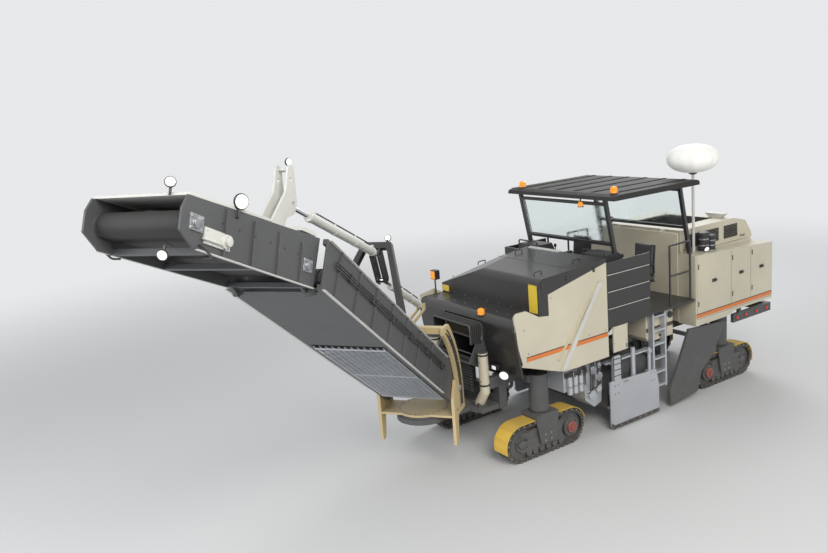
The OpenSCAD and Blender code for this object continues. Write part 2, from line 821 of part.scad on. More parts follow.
module lockers() {
    color("#d8d2b8") placed() both_sides() difference() {
        side_cut(bay_y, side_y) polygon([
            [locker_front_x, skirt_z], [-2060, skirt_z], [-2300, 1400], [rear_x, 1400],
            [rear_x, locker_top(rear_x)], [locker_front_x, locker_top_z]
        ]);
        side_cut(bay_y + panel_t, inner_y) polygon([
            [locker_front_x - panel_t, skirt_z + panel_t], [-2060, skirt_z + panel_t],
            [-2300, 1400 + panel_t], [rear_x + panel_t, 1400 + panel_t],
            [rear_x + panel_t, locker_top(rear_x + panel_t) - panel_t],
            [locker_front_x - panel_t, locker_top(locker_front_x - panel_t) - panel_t]
        ]);
    }
}

side_bar_x = -2330;

// Radiator, rear bumper and the lamp bars along the overhang's sides.
module radiator() {
    color("#333333") placed() {
        block([rear_x, -bay_y + 10, bay_z], [rear_x + 120 - pin_gap, bay_y - 10, 2480]);
        both_sides() {
            block([bumper_x, 300, bumper_z], [rear_x + 40, side_y - 60, bumper_z + 160]);
            block([rear_x + 39, side_y - 120, bumper_z], [side_bar_x, side_y - 60, bumper_z + 160]);
            block([side_bar_x - 230, side_y - 120, bumper_z + 159], [side_bar_x - 170, side_y - 60, 1400]);
        }
        block([bumper_x + 10, -310, 1200], [rear_x + 40, 310, 1260]);
        both_sides() block([rear_x, 400, 1250], [rear_x + 100, 520, bay_z + 5]);
    }
}

module air_cleaners() {
    color("#222222") placed() {
        on_locker(-1720, side_y - 240, 90) cylinder(h = 330, r = 90);
        on_locker(-1930, side_y - 240, 75) cylinder(h = 260, r = 75);
        on_locker(-1500, 250 - side_y, 60) cylinder(h = 480, r = 60);
    }
}

// Stands a round piece of radius r on a locker's sloping top.
module on_locker(x, y, r) {
    translate([x, y, locker_top(x + r) + pin_gap]) children();
}

module engine_hood_outline(t) {
    polygon([
        [hood_front_x, bay_top_z + seam - (t > 0 ? 50 : 0)], [hood_front_x - t, engine_hood_z - t],
        [rear_x + 615, engine_hood_z - t], [rear_x + 265 + t * 0.4, engine_hood_z - 90 - t],
        [rear_x + 85 + t, engine_hood_z - 330], [rear_x + 55 + t, bay_top_z + seam - (t > 0 ? 50 : 0)]
    ]);
}

module engine_hood() {
    color("#cfc9b0") placed() difference() {
        side_cut(-bay_y + 20, bay_y - 20) engine_hood_outline(0);
        side_cut(-bay_y + 20 + panel_t, bay_y - 20 - panel_t) engine_hood_outline(panel_t);
    }
    color("#cfc9b0") placed() both_sides() hood_knuckle(hood_hinge_y, hood_front_x - 1);
}

// Roof

module roof() {
    color("#333333") placed() difference() {
        side_cut(-roof_w / 2, roof_w / 2) polygon([
            [roof_rear_x, roof_z - roof_t], [roof_front_x, roof_z - roof_t],
            [roof_front_x - 20, roof_z - 30], [roof_front_x - 120, roof_z],
            [roof_rear_x + 60, roof_z], [roof_rear_x, roof_z - 30]
        ]);
        block([roof_rear_x + panel_t, -roof_w / 2 + panel_t, roof_z - roof_t - 1],
            [roof_front_x - panel_t, roof_w / 2 - panel_t, roof_z - roof_t + 40]);
    }
}

// Posts and window frames lean forwards by the same slope.
post_lean = 0.2;
post_w = 60;
post_y = 990;
front_post_x = 525;
rear_post_x = -1350;
roof_low_z = roof_z - roof_t + 40;
glass_t = 8;
glass_low_z = console_top_z + 170;
glass_top_z = roof_low_z - 140;

module leaning(x, foot, low, high, w) {
    polygon([
        [x + (low - foot) * post_lean, low], [x + w + (low - foot) * post_lean, low],
        [x + w + (high - foot) * post_lean, high], [x + (high - foot) * post_lean, high]
    ]);
}

module roof_posts() {
    color("#2b2b2b") placed() {
        both_sides() {
            side_cut(post_y, post_y + post_w) leaning(front_post_x, console_top_z,
                console_top_z + pin_gap, roof_low_z, post_w);
            side_cut(post_y, post_y + post_w) leaning(rear_post_x, locker_top_z,
                locker_top(rear_post_x + post_w) + pin_gap, roof_low_z, post_w);
        }
        for (z = [glass_low_z - 50, glass_top_z]) {
            side_cut(-post_y - 1, post_y + 1) leaning(rear_post_x, locker_top_z, z, z + 50, post_w);
            side_cut(-post_y - 1, post_y + 1) leaning(front_post_x, console_top_z, z, z + 50, post_w);
        }
    }
}

module windscreens() {
    color("#9fb4b8", 0.4) placed() {
        side_cut(-post_y + pin_gap, post_y - pin_gap)
            leaning(rear_post_x + 26, locker_top_z, glass_low_z + pin_gap, glass_top_z - pin_gap, glass_t);
        side_cut(-post_y + pin_gap, post_y - pin_gap)
            leaning(front_post_x + 26, console_top_z, glass_low_z + pin_gap, glass_top_z - pin_gap, glass_t);
    }
}

mast_at = [-1550, side_y - 320];
mast_r = 25;
balloon_z = 4250;
balloon_half = 250;

module light_mast() {
    color("#bbbbbb") placed() translate([mast_at[0], mast_at[1], locker_top(mast_at[0] + mast_r) + pin_gap])
        cylinder(h = balloon_z - balloon_half - locker_top(mast_at[0] + mast_r) - 2 * pin_gap,
            r = mast_r, $fn = 24);
}

module balloon_light() {
    color("white") placed() translate([mast_at[0], mast_at[1], balloon_z]) rotate_extrude($fn = 48) polygon([
        [0, -balloon_half], [150, -balloon_half + 12], [300, -180], [410, -85], [445, 0], [410, 85],
        [300, 180], [150, balloon_half - 12], [0, balloon_half]
    ]);
}

module work_lamps() {
    color("#dddddd") placed() both_sides() {
        side_cut(650, 760) polygon([
            [nose_face(1480) + pin_gap, 1480], [nose_x, 1480], [nose_x, 1560],
            [nose_face(1560) + pin_gap, 1560]
        ]);
        block([roof_rear_x - 40, 700, roof_z - 80], [roof_rear_x - pin_gap, 820, roof_z - 35]);
    }
}

module beacons() {
    color("orange") placed() both_sides()
        translate([roof_front_x - 200, 1100, roof_z]) cylinder(h = 120, r = 60);
}

// Crawlers

function crawler_at(front, left) = [front ? front_axle_x : rear_axle_x, left ? track_y : -track_y];

module at_crawler(front, left) {
    p = crawler_at(front, left);
    placed() translate([p[0], p[1], 0]) mirror([0, left ? 0 : 1, 0]) mirror([front ? 0 : 1, 0, 0])
        children();
}

module stadium(r) {
    translate([-wheel_x, wheel_r - r]) square([2 * wheel_x, 2 * r]);
    for (x = [-wheel_x, wheel_x]) translate([x, wheel_r]) circle(r = r);
}

// Length round the chain, and the place and heading of a shoe at a distance along it.
run = 2 * wheel_x;
chain_r = wheel_r - lug_h;
turn_l = PI * chain_r;
loop_l = 2 * run + 2 * turn_l;
function shoe_at(d) =
    d < run ? [-wheel_x + d, wheel_r - chain_r, 0]
    : d < run + turn_l ? let (a = (d - run) / chain_r * 180 / PI)
        [wheel_x + chain_r * sin(a), wheel_r - chain_r * cos(a), a]
    : d < 2 * run + turn_l ? [wheel_x - (d - run - turn_l), wheel_r + chain_r, 180]
    : let (a = 180 + (d - 2 * run - turn_l) / chain_r * 180 / PI)
        [-wheel_x + chain_r * sin(a), wheel_r - chain_r * cos(a), a];

// Section of a pad along the chain, bevelled at its foot.
pad_l = loop_l / shoe_n * 0.72;
pad = [
    [-pad_l / 2, 6], [-pad_l / 2, -lug_h / 2], [-pad_l / 2 + 8, -lug_h], [pad_l / 2 - 8, -lug_h],
    [pad_l / 2, -lug_h / 2], [pad_l / 2, 6]
];

module track() {
    rotate([90, 0, 0]) translate([0, 0, -shoe_w / 2]) linear_extrude(shoe_w) difference() {
        union() {
            stadium(chain_r);
            for (i = [0:shoe_n - 1]) {
                s = shoe_at((i + 0.5) * loop_l / shoe_n);
                translate([s[0], s[1]]) rotate([0, 0, s[2]])
                    polygon(pad);
            }
        }
        stadium(chain_r - chain_t);
    }
}

yoke_x = 230;
yoke_t = 30;
yoke_gap = 8;
yoke_top_z = 690;
fender_z = crawler_h + 14;
fender_t = 10;

module crawler_frame() {
    inner_r = chain_r - chain_t - 0.5;
    y_out = shoe_w / 2 + yoke_gap;
    for (x = [-wheel_x, wheel_x])
        translate([x, 100, wheel_r]) rotate([90, 0, 0]) cylinder(h = 200, r = inner_r);
    difference() {
        side_cut(-shoe_w / 2 + 10, shoe_w / 2 - 10) crawler_plate();
        translate([-wheel_x, shoe_w / 2, wheel_r]) rotate([90, 0, 0]) cylinder(h = shoe_w, r = drive_r + 30);
        side_cut(shoe_w / 2 - 30, shoe_w / 2) translate([wheel_x, wheel_r]) circle(r = 120);
    }
    drive_hub();
    for (i = [0:roller_count - 1])
        translate([-wheel_x + 200 + i * (2 * wheel_x - 340) / (roller_count - 1), shoe_w / 2 - 16,
            wheel_r - inner_r + track_roller_r]) rotate([90, 0, 0])
            cylinder(h = shoe_w - 32, r = track_roller_r);
    block([-100, -y_out - 1, wheel_r - 80], [100, y_out + 1, wheel_r + 80]);
    for (y = [-y_out - yoke_t, y_out])
        translate([0, y + yoke_t, 0]) rotate([90, 0, 0]) linear_extrude(yoke_t) polygon([
            [-yoke_x, yoke_top_z], [-yoke_x, crawler_h], [-150, wheel_r - 100], [150, wheel_r - 100],
            [yoke_x, crawler_h], [yoke_x, yoke_top_z]
        ]);
    block([-yoke_x, -y_out - yoke_t, fender_z + fender_t + pin_gap], [yoke_x, y_out + yoke_t, yoke_top_z]);
    translate([0, 0, yoke_top_z - 10])
        cylinder(h = sleeve_top_z - 90 - yoke_top_z, r = column_r);
}

drive_r = 150;
roller_count = 6;
track_roller_r = 55;

// Side plate of the crawler between its two runs, cut away round the drive.
module crawler_plate() {
    polygon([
        [-wheel_x - 20, wheel_r - 150], [wheel_x, wheel_r - 150], [wheel_x + 110, wheel_r - 60],
        [wheel_x + 110, wheel_r + 60], [wheel_x, wheel_r + 150], [150, wheel_r + 190],
        [-150, wheel_r + 190], [-wheel_x - 20, wheel_r + 120]
    ]);
}

// Hub of the drive motor with its ring of bolts, on the outer side.
module drive_hub() {
    translate([-wheel_x, shoe_w / 2 + 20, wheel_r]) rotate([90, 0, 0])
        cylinder(h = shoe_w / 2 + 20, r = drive_r);
    translate([-wheel_x, shoe_w / 2 + 50, wheel_r]) rotate([90, 0, 0]) cylinder(h = 60, r = 95);
    for (i = [0:7]) rotate_about_drive(i * 45) translate([drive_r - 25, 0, 0])
        cylinder(h = 35, r = 11, $fn = 24);
}

module rotate_about_drive(a) {
    translate([-wheel_x, shoe_w / 2 + 35, wheel_r]) rotate([90, 0, 0]) rotate([0, 0, a]) children();
}

module fender() {
    r = fender_z - wheel_r;
    y = shoe_w / 2 + yoke_gap - pin_gap;
    rotate([90, 0, 0]) translate([0, 0, -y]) linear_extrude(2 * y) difference() {
        stadium(r + fender_t);
        stadium(r);
        translate([-crawler_l, -crawler_h]) square([crawler_l, crawler_h + wheel_r + 70]);
        translate([-1, -crawler_h]) square([crawler_l, crawler_h + 210]);
    }
    for (a = [-12, 22, 56])
        translate([wheel_x, 0, wheel_r]) rotate([0, -a, 0])
            block([r + 4, -y, -9], [r + fender_t + 14, y, 9]);
}

module track_fl() { color("#262626") at_crawler(true, true) track(); }
module track_fr() { color("#262626") at_crawler(true, false) track(); }
module track_rl() { color("#262626") at_crawler(false, true) track(); }
module track_rr() { color("#262626") at_crawler(false, false) track(); }
module crawler_frame_fl() { color("#7d7d7d") at_crawler(true, true) crawler_frame(); }
module crawler_frame_fr() { color("#7d7d7d") at_crawler(true, false) crawler_frame(); }
module crawler_frame_rl() { color("#7d7d7d") at_crawler(false, true) crawler_frame(); }
module crawler_frame_rr() { color("#7d7d7d") at_crawler(false, false) crawler_frame(); }
module fender_fl() { color("gold") at_crawler(true, true) fender(); }
module fender_fr() { color("gold") at_crawler(true, false) fender(); }
module fender_rl() { color("gold") at_crawler(false, true) fender(); }
module fender_rr() { color("gold") at_crawler(false, false) fender(); }

// Discharge conveyor

cheek_t = 50;
cheek_y = conv_w / 2 + 8;
cheek_x = 180;
mast_x = 460;
mast_z = 2400;
mast_w = 100;
// The arms bend forwards round this point, in the conveyor's upright plane.
arm_bend_x = 1600;
arm_bend_z = 1200;
arm_bend_r = 1510;
arm_depth = 250;
lift_pin_r = 45;
turn_plate_z = turntable_z + pin_gap;
turn_plate_t = 35;

// Lift cylinder: eye on the mast, eye on the tower.
lift_low = [-260, mast_z + 110];
tower_s = 2400;
lift_eye_s = 2050;
tower_h = 1335;
tower_eye_h = 935;
tower_eye = turned(lower_incline, [lift_eye_s, tower_eye_h]);
lift_high = [tower_eye[0], lift_z + tower_eye[1]];
lift_l = norm(lift_high - lift_low);
lift_tilt = atan2(lift_high[1] - lift_low[1], lift_high[0] - lift_low[0]);
eye_pin_r = 25;

cheek_front_x = 330;

// Curved arm from the turntable up to the cross beam.
module slew_arm() {
    intersection() {
        difference() {
            translate([arm_bend_x, arm_bend_z]) circle(r = arm_bend_r + arm_depth, $fn = 96);
            translate([arm_bend_x, arm_bend_z]) circle(r = arm_bend_r, $fn = 96);
        }
        translate([-cheek_x, turn_plate_z]) square([mast_x + cheek_x + mast_w, mast_z - turn_plate_z]);
    }
}

module slew_head() {
    color("#3f3f3f") slewed() {
        translate([0, 0, turn_plate_z]) cylinder(h = turn_plate_t, r = ring_r);
        block([-cheek_x, -cheek_y - cheek_t, turn_plate_z],
            [cheek_front_x, cheek_y + cheek_t, turn_plate_z + turn_plate_t]);
        both_sides() side_cut(cheek_y, cheek_y + cheek_t) difference() {
            union() {
                polygon([
                    [-cheek_x, turn_plate_z], [150, turn_plate_z], [230, 480], [340, 480],
                    [cheek_front_x, turn_plate_z], [cheek_front_x, lift_z - 80], [180, lift_z + 180],
                    [-100, lift_z + 150]
                ]);
                slew_arm();
            }
            translate([0, lift_z]) circle(r = lift_pin_r + pin_gap);
        }
        block([mast_x - mast_w / 2, -cheek_y - 1, mast_z - 100],
            [mast_x + mast_w / 2, cheek_y + 1, mast_z]);
        for (y = [-60, 40])
            side_cut(y, y + 20) difference() {
                polygon([
                    [mast_x + 40, mast_z - 90], [mast_x + 40, mast_z - 10], [lift_low[0] + 60, lift_low[1] - 45],
                    [lift_low[0] + 35, lift_low[1] + 40], [lift_low[0] - 45, lift_low[1] + 40],
                    [lift_low[0] - 45, lift_low[1] - 65]
                ]);
                translate(lift_low) circle(r = eye_pin_r);
            }
        translate([lift_low[0], 60, lift_low[1]]) rotate([90, 0, 0]) cylinder(h = 120, r = eye_pin_r);
    }
}

// Side frame of the lower section: round boot, then a straight plate with chords.
frame_t = 20;
chord = 60;
mitre = (lower_incline - upper_incline) / 2;
end_shift = conv_h * tan(mitre);
top_h = conv_h - boot_r;
fold_gap = 8;

module lower_side_outline() {
    circle(r = boot_r);
    polygon([
        [-120, -100], [0, -boot_r], [lower_l - fold_gap, -boot_r], [lower_l - fold_gap + end_shift, top_h],
        [-120, top_h]
    ]);
}

module lower_side() {
    side_cut(conv_w / 2 - frame_t, conv_w / 2) lower_side_outline();
    side_cut(conv_w / 2 - chord, conv_w / 2 - frame_t + 1) {
        polygon([[0, -boot_r], [lower_l - fold_gap, -boot_r],
            [lower_l - fold_gap + chord * tan(mitre), -boot_r + chord], [0, -boot_r + chord]]);
        polygon([[-120, top_h - chord], [lower_l - fold_gap + (conv_h - chord) * tan(mitre), top_h - chord],
            [lower_l - fold_gap + end_shift, top_h], [-120, top_h]]);
    }
    side_cut(conv_w / 2 - 1, cheek_y + cheek_t + 10) circle(r = lift_pin_r);
}

hinge_y = head_w / 2 - 60;
hinge_t = 30;
hinge_r = 40;
hinge_pin_r = 20;

module lower_frame() {
    color("#4c4c4c") lower_section() {
        both_sides() {
            lower_side();
            side_cut(hinge_y, hinge_y + hinge_t) {
                translate([lower_l, -boot_r - fold_drop]) circle(r = hinge_r);
                polygon([
                    [lower_l - 140, -boot_r + 1], [lower_l - 30, -boot_r + 1],
                    [lower_l + 10, -boot_r - fold_drop + 30], [lower_l - 30, -boot_r - fold_drop - 20]
                ]);
            }
            side_cut(hinge_y - hinge_t - 10, hinge_y + 1)
                translate([lower_l, -boot_r - fold_drop]) circle(r = hinge_pin_r);
            for (x = [250, 1300, 2560, 3300, 3900])
                block([x, -1, -boot_r], [x + 80, conv_w / 2 - frame_t + 1, -boot_r + 50]);
        }
        both_sides() block([lower_l - 150, -1, -boot_r], [lower_l - 70, conv_w / 2 - frame_t + 1, -boot_r + 50]);
        block([2790, -conv_w / 2 + frame_t - 1, -boot_r], [lower_l - 151, conv_w / 2 - frame_t + 1, -boot_r + 8]);
        belt_drums(0, lower_belt_l, lower_belt_z, conv_w);
    }
}

// Drums at a belt's ends and rollers under its upper run, across the frame.
roller_n = 5;

module belt_drums(from, to, z, w) {
    l = w - 2 * frame_t + 2;
    for (x = [from, to])
        translate([x, l / 2, z]) rotate([90, 0, 0]) cylinder(h = l, r = belt_turn_r - belt_t - pin_gap);
    for (i = [1:roller_n])
        translate([from + (to - from) * i / (roller_n + 1), l / 2, z + belt_turn_r - belt_t - pin_gap - roller_r])
            rotate([90, 0, 0]) cylinder(h = l, r = roller_r);
}

module belt_loop(from, to, z) {
    rotate([90, 0, 0]) translate([0, 0, -belt_w / 2]) linear_extrude(belt_w) difference() {
        belt_outline(from, to, z, belt_turn_r);
        belt_outline(from, to, z, belt_turn_r - belt_t);
    }
}

module belt_outline(from, to, z, r) {
    translate([from, z - r]) square([to - from, 2 * r]);
    for (x = [from, to]) translate([x, z]) circle(r = r);
}

lower_belt_l = lower_l - 230;
lower_belt_z = -boot_r + 217;

module lower_belt() {
    color("#1a1a1a") lower_section() belt_loop(0, lower_belt_l, lower_belt_z);
}

// Bars along the underside that keep stones off the belt.
guard_n = 12;
guard_t = 12;

module underside_guard() {
    color("#777777") lower_section() {
        for (i = [0:guard_n - 1]) {
            y = -conv_w / 2 + 80 + i * (conv_w - 160 - guard_t) / (guard_n - 1);
            block([250, y, -boot_r - guard_t - pin_gap], [2750, y + guard_t, -boot_r - pin_gap]);
        }
        for (x = [300, 1470, 2660])
            block([x, -conv_w / 2 + 80, -boot_r - 2 * guard_t], [x + 30, conv_w / 2 - 80, -boot_r - guard_t]);
    }
}

tower_w = 420;

module tower() {
    color("#2a2a2a") lower_section() {
        both_sides() side_leg();
        block([tower_s - 45, -tower_w / 2, tower_h - 90], [tower_s + 45, tower_w / 2, tower_h]);
        for (y = [-70, 45])
            side_cut(y, y + 25) difference() {
                polygon([
                    [lift_eye_s - 50, tower_eye_h - 50], [lift_eye_s + 50, tower_eye_h - 60],
                    [tower_s + 55, fold_eye_h - 60], [tower_s + 45, tower_h - 89],
                    [tower_s - 45, tower_h - 89], [lift_eye_s - 50, tower_eye_h + 50]
                ]);
                translate([lift_eye_s, tower_eye_h]) circle(r = eye_pin_r);
                translate([tower_s, fold_eye_h]) circle(r = eye_pin_r - 1);
            }
        translate([tower_s, 46, fold_eye_h]) rotate([90, 0, 0]) cylinder(h = 92, r = eye_pin_r);
    }
}

module side_leg() {
    translate([tower_s - 45, 0, 0]) rotate([90, 0, 90]) linear_extrude(90) polygon([
        [conv_w / 2 - 90, top_h + pin_gap], [conv_w / 2, top_h + pin_gap],
        [tower_w / 2, tower_h], [tower_w / 2 - 80, tower_h]
    ]);
}

// Upper section, from the fold to the head
upper_low = fold_drop;

module upper_side_outline() {
    polygon([
        [fold_gap, upper_low], [upper_l - 200, upper_low], [upper_l, upper_low + 120],
        [upper_l, upper_low + head_h - 120], [upper_l - 60, upper_low + head_h],
        [fold_gap - end_shift, upper_low + conv_h]
    ]);
}

module upper_frame() {
    color("#4c4c4c") upper_section() {
        both_sides() {
            side_cut(head_w / 2 - frame_t, head_w / 2) upper_side_outline();
            side_cut(hinge_y - hinge_t - pin_gap, hinge_y - pin_gap) difference() {
                union() {
                    circle(r = hinge_r);
                    polygon([[-20, 30], [10, -30], [140, upper_low + 1], [fold_gap, upper_low + 1]]);
                }
                circle(r = hinge_pin_r + pin_gap);
            }
            for (x = [60, 1100, 1800])
                block([x, -1, upper_low], [x + 80, head_w / 2 - frame_t + 1, upper_low + 50]);
        }
        belt_drums(upper_belt_from, upper_belt_to, upper_belt_z, head_w);
    }
}

upper_belt_from = 170;
upper_belt_to = upper_l - 190;
upper_belt_z = upper_low + 217;

module upper_belt() {
    color("#1a1a1a") upper_section() belt_loop(upper_belt_from, upper_belt_to, upper_belt_z);
}

module head_cover() {
    color("#bdbdb4") upper_section() {
        fall = atan2(conv_h - head_h, upper_l - 60);
        translate([0, 0, upper_low + conv_h + 0.5]) rotate([0, fall, 0])
            block([900, -head_w / 2, 0], [upper_l - 80, head_w / 2, 25]);
    }
}

// Arm that stands on the upper section and takes the fold cylinder.
arm_x = -130;
arm_h = 1000;
arm_y = 60;
arm_t = 30;
arm_eye = [arm_x, arm_h];
arm_top_h = 1400;
arm_base_h = upper_low + conv_h + 30;

module fold_arm() {
    color("#d9d9d0") upper_section() {
        difference() {
            union() {
                both_sides() side_cut(arm_y, arm_y + arm_t) polygon([
                    [fold_gap + 30, arm_base_h], [320, arm_base_h], [40, arm_h + 90],
                    [40, arm_top_h - 40], [10, arm_top_h], [-50, arm_top_h], [-80, arm_top_h - 40],
                    [arm_x - 70, arm_h + 40], [arm_x - 70, arm_h - 40], [arm_x - 30, arm_h - 110],
                    [-20, arm_h - 180]
                ]);
                block([fold_gap + 30, -head_w / 2, upper_low + conv_h + 0.4],
                    [330, head_w / 2, upper_low + conv_h + 40]);
                block([-60, -arm_y - 1, arm_top_h - 60], [0, arm_y + 1, arm_top_h - 30]);
            }
            side_cut(-200, 200) translate(arm_eye) circle(r = eye_pin_r);
            side_cut(-200, 200) translate([-25, arm_top_h - 160]) circle(r = eye_pin_r);
        }
    }
}

// Hydraulic cylinders, drawn along +X from the barrel's eye to the rod's eye.
barrel_r = 55;
rod_r = 28;
knuckle_r = 38;
knuckle_w = 70;
neck_l = 110;

module cylinder_barrel(l) {
    rotate([0, 90, 0]) difference() {
        translate([0, 0, neck_l]) cylinder(h = l - neck_l, r = barrel_r);
        translate([0, 0, neck_l + 40]) cylinder(h = l, r = rod_r + pin_gap);
    }
    translate([0, knuckle_w / 2, 0]) rotate([90, 0, 0]) difference() {
        union() {
            cylinder(h = knuckle_w, r = knuckle_r);
            translate([0, -knuckle_r + 4, 0]) cube([neck_l + 2, 2 * knuckle_r - 8, knuckle_w]);
        }
        translate([0, 0, -1]) cylinder(h = knuckle_w + 2, r = eye_pin_r + pin_gap);
    }
}

module cylinder_rod(l, from, gap) {
    translate([from, 0, 0]) rotate([0, 90, 0]) cylinder(h = l - from - knuckle_r + 8, r = rod_r);
    translate([l, knuckle_w / 2, 0]) rotate([90, 0, 0]) cylinder(h = knuckle_w, r = knuckle_r);
    translate([l, gap / 2 - pin_gap, 0]) rotate([90, 0, 0])
        cylinder(h = gap - 2 * pin_gap, r = eye_pin_r);
}

module at_lift_cylinder() {
    slewed() translate([lift_low[0], 0, lift_low[1]]) rotate([0, -lift_tilt, 0]) children();
}

module lift_barrel() {
    color("#c9b48a") at_lift_cylinder() cylinder_barrel(lift_l - 300);
}

module lift_rod() {
    color("#d0d0d0") at_lift_cylinder() cylinder_rod(lift_l, 600, 90);
}

fold_eye_h = 1180;
fold_low_local = turned(lower_incline, [tower_s, fold_eye_h]);
fold_low = [fold_low_local[0], lift_z + fold_low_local[1]];
arm_eye_local = turned(upper_incline, arm_eye);
fold_high = fold_at + arm_eye_local;
fold_l = norm(fold_high - fold_low);
fold_tilt = atan2(fold_high[1] - fold_low[1], fold_high[0] - fold_low[0]);

module at_fold_cylinder() {
    slewed() translate([fold_low[0], 0, fold_low[1]]) rotate([0, -fold_tilt, 0]) children();
}

module fold_barrel() {
    color("#c9b48a") at_fold_cylinder() cylinder_barrel(fold_l - 500);
}

module fold_rod() {
    color("#d0d0d0") at_fold_cylinder() cylinder_rod(fold_l, 700, 2 * arm_y);
}

frame();
axle_boxes();
tongue();
body_supports();
front_hood();
side_panels();
primary_conveyor();
transfer_bellows();
drum_housing();
side_shields();
service_units();
deck_tanks();
platform();
railings();
consoles();
seats();
ladders();
engine_bay();
engine();
lockers();
radiator();
air_cleaners();
roof();
roof_posts();
windscreens();
light_mast();
balloon_light();
work_lamps();
beacons();
engine_hood();
milling_drum();
side_plate_left();
side_plate_right();
side_rod_left();
side_rod_right();
slew_head();
lower_frame();
lower_belt();
underside_guard();
tower();
upper_frame();
upper_belt();
head_cover();
fold_arm();
lift_barrel();
lift_rod();
fold_barrel();
fold_rod();
track_fl();
track_fr();
track_rl();
track_rr();
crawler_frame_fl();
crawler_frame_fr();
crawler_frame_rl();
crawler_frame_rr();
fender_fl();
fender_fr();
fender_rl();
fender_rr();
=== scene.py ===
"""Looks of a cold planer milling machine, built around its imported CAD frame.

Lengths in the functions below are millimetres in the machine's own frame, as in part.scad: x forward
and z up from the ground between the crawlers, y to the machine's left. A Piece gathers the faces of
one object there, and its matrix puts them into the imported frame, in metres.
"""
import json
import math

import bmesh
import bpy
from mathutils import Matrix, Vector


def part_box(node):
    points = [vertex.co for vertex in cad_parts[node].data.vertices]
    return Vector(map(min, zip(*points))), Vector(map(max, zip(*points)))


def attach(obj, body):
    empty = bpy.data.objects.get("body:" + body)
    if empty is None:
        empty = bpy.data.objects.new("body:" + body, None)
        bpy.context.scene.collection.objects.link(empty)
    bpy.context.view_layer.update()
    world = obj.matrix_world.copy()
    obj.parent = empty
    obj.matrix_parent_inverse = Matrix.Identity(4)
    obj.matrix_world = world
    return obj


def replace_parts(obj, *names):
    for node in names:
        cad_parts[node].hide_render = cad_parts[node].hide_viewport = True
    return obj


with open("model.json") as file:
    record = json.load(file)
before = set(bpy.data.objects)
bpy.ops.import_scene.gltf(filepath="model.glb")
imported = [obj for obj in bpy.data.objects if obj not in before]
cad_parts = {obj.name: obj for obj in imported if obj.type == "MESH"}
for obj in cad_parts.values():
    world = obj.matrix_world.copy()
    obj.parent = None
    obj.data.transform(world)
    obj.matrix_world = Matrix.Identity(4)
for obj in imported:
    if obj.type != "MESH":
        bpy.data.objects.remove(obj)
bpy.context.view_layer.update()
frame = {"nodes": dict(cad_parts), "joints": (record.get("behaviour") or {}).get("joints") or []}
JOINT = {j["name"]: j for j in frame["joints"]}

X, Y, Z = (1, 0, 0), (0, 1, 0), (0, 0, 1)

# Places and sizes repeated from part.scad
SLEW_AT = (3850, 0, 800)
LOWER_INCLINE = 36.0
UPPER_INCLINE = 23.3
SIDE_Y = 1250
DECK_Z = 1840
HOOD_REAR_X = 1000
HOOD_TOP_Z = 2960
HOOD_FALL = 3
HOOD_FACE_X = 2450
LEDGE_Z = 2340
NOSE_X = 2960
CHUTE_W = 900
STACK_AT = (1060, 1100, 900)
TANK_Y = 1080
BUMPER_Z = 1130
REAR_X = -3415
LOCKER_FRONT_X = -1185
LOCKER_TOP_Z = 2607
LOCKER_FALL = 120
DESK_Z = 2940
BAY_Y = 878
ENGINE_HOOD_Z = 3000
ROOF_Z = 3930
ROOF_T = 90
ROOF_FRONT_X = 810
ROOF_REAR_X = -1270
CRAWLER_L = 1620
CRAWLER_H = 600
SHOE_W = 300
LUG_H = 20
CHAIN_T = 42
SHOE_N = 34
CONV_W = 1150
HEAD_W = 980
BOOT_R = 265
LOWER_L = 4710
UPPER_L = 2230
CONV_TOP = 285
UPPER_LOW = 45
BELT_TURN_R = 107
BELT_MID = 217
CHEEK_Y = 633
ARC_AT = (1600, 1200)
ARC_R = 1612
LEG_AT = (3100, 640)
LEG_R = 77


def scaled(matrix):
    """A place in metres, for points given in millimetres."""
    return matrix @ Matrix.Scale(0.001, 4)


def at_pin(joint, incline):
    """The slewed conveyor's frame at one of its pins, tilted up by the incline."""
    return scaled(Matrix.Translation(JOINT[joint]["pos_m"]) @ Matrix.Rotation(SLEW, 4, "Z")
                  @ Matrix.Rotation(math.radians(-incline), 4, "Y"))


up_axis = JOINT["conveyor_lift"]["axis"]
SLEW = math.atan2(up_axis[0], -up_axis[1])
SHIFT = Vector(JOINT["conveyor_slew"]["pos_m"]) - Vector(SLEW_AT) / 1000
MACHINE = scaled(Matrix.Translation(SHIFT))
LOWER = at_pin("conveyor_lift", LOWER_INCLINE)
UPPER = at_pin("conveyor_fold", UPPER_INCLINE)
HEAD = scaled(Matrix.Translation(SHIFT + Vector((SLEW_AT[0] / 1000, 0, 0))) @ Matrix.Rotation(SLEW, 4, "Z"))


def mirrored(place, side):
    """The place itself for side 1, and its mirror image in the upright middle plane for side -1."""
    return place @ Matrix.Diagonal((1, side, 1, 1))


def crawler_place(name):
    """Frame of one crawler: x towards its machine end, y outwards, z up from the ground."""
    end, side = {"f": "front", "r": "rear"}[name[0]], {"l": "left", "r": "right"}[name[1]]
    at = Vector(JOINT["steer_%s_%s" % (end, side)]["pos_m"])
    at.z = 0
    signs = (1 if end == "front" else -1, 1 if side == "left" else -1, 1, 1)
    return scaled(Matrix.Translation(at)) @ Matrix.Diagonal(signs)


def hood_line(x):
    return HOOD_TOP_Z - (x - HOOD_REAR_X) * math.tan(math.radians(HOOD_FALL))


def locker_top(x):
    return LOCKER_TOP_Z - LOCKER_FALL * (LOCKER_FRONT_X - x) / (LOCKER_FRONT_X - REAR_X)


# Materials

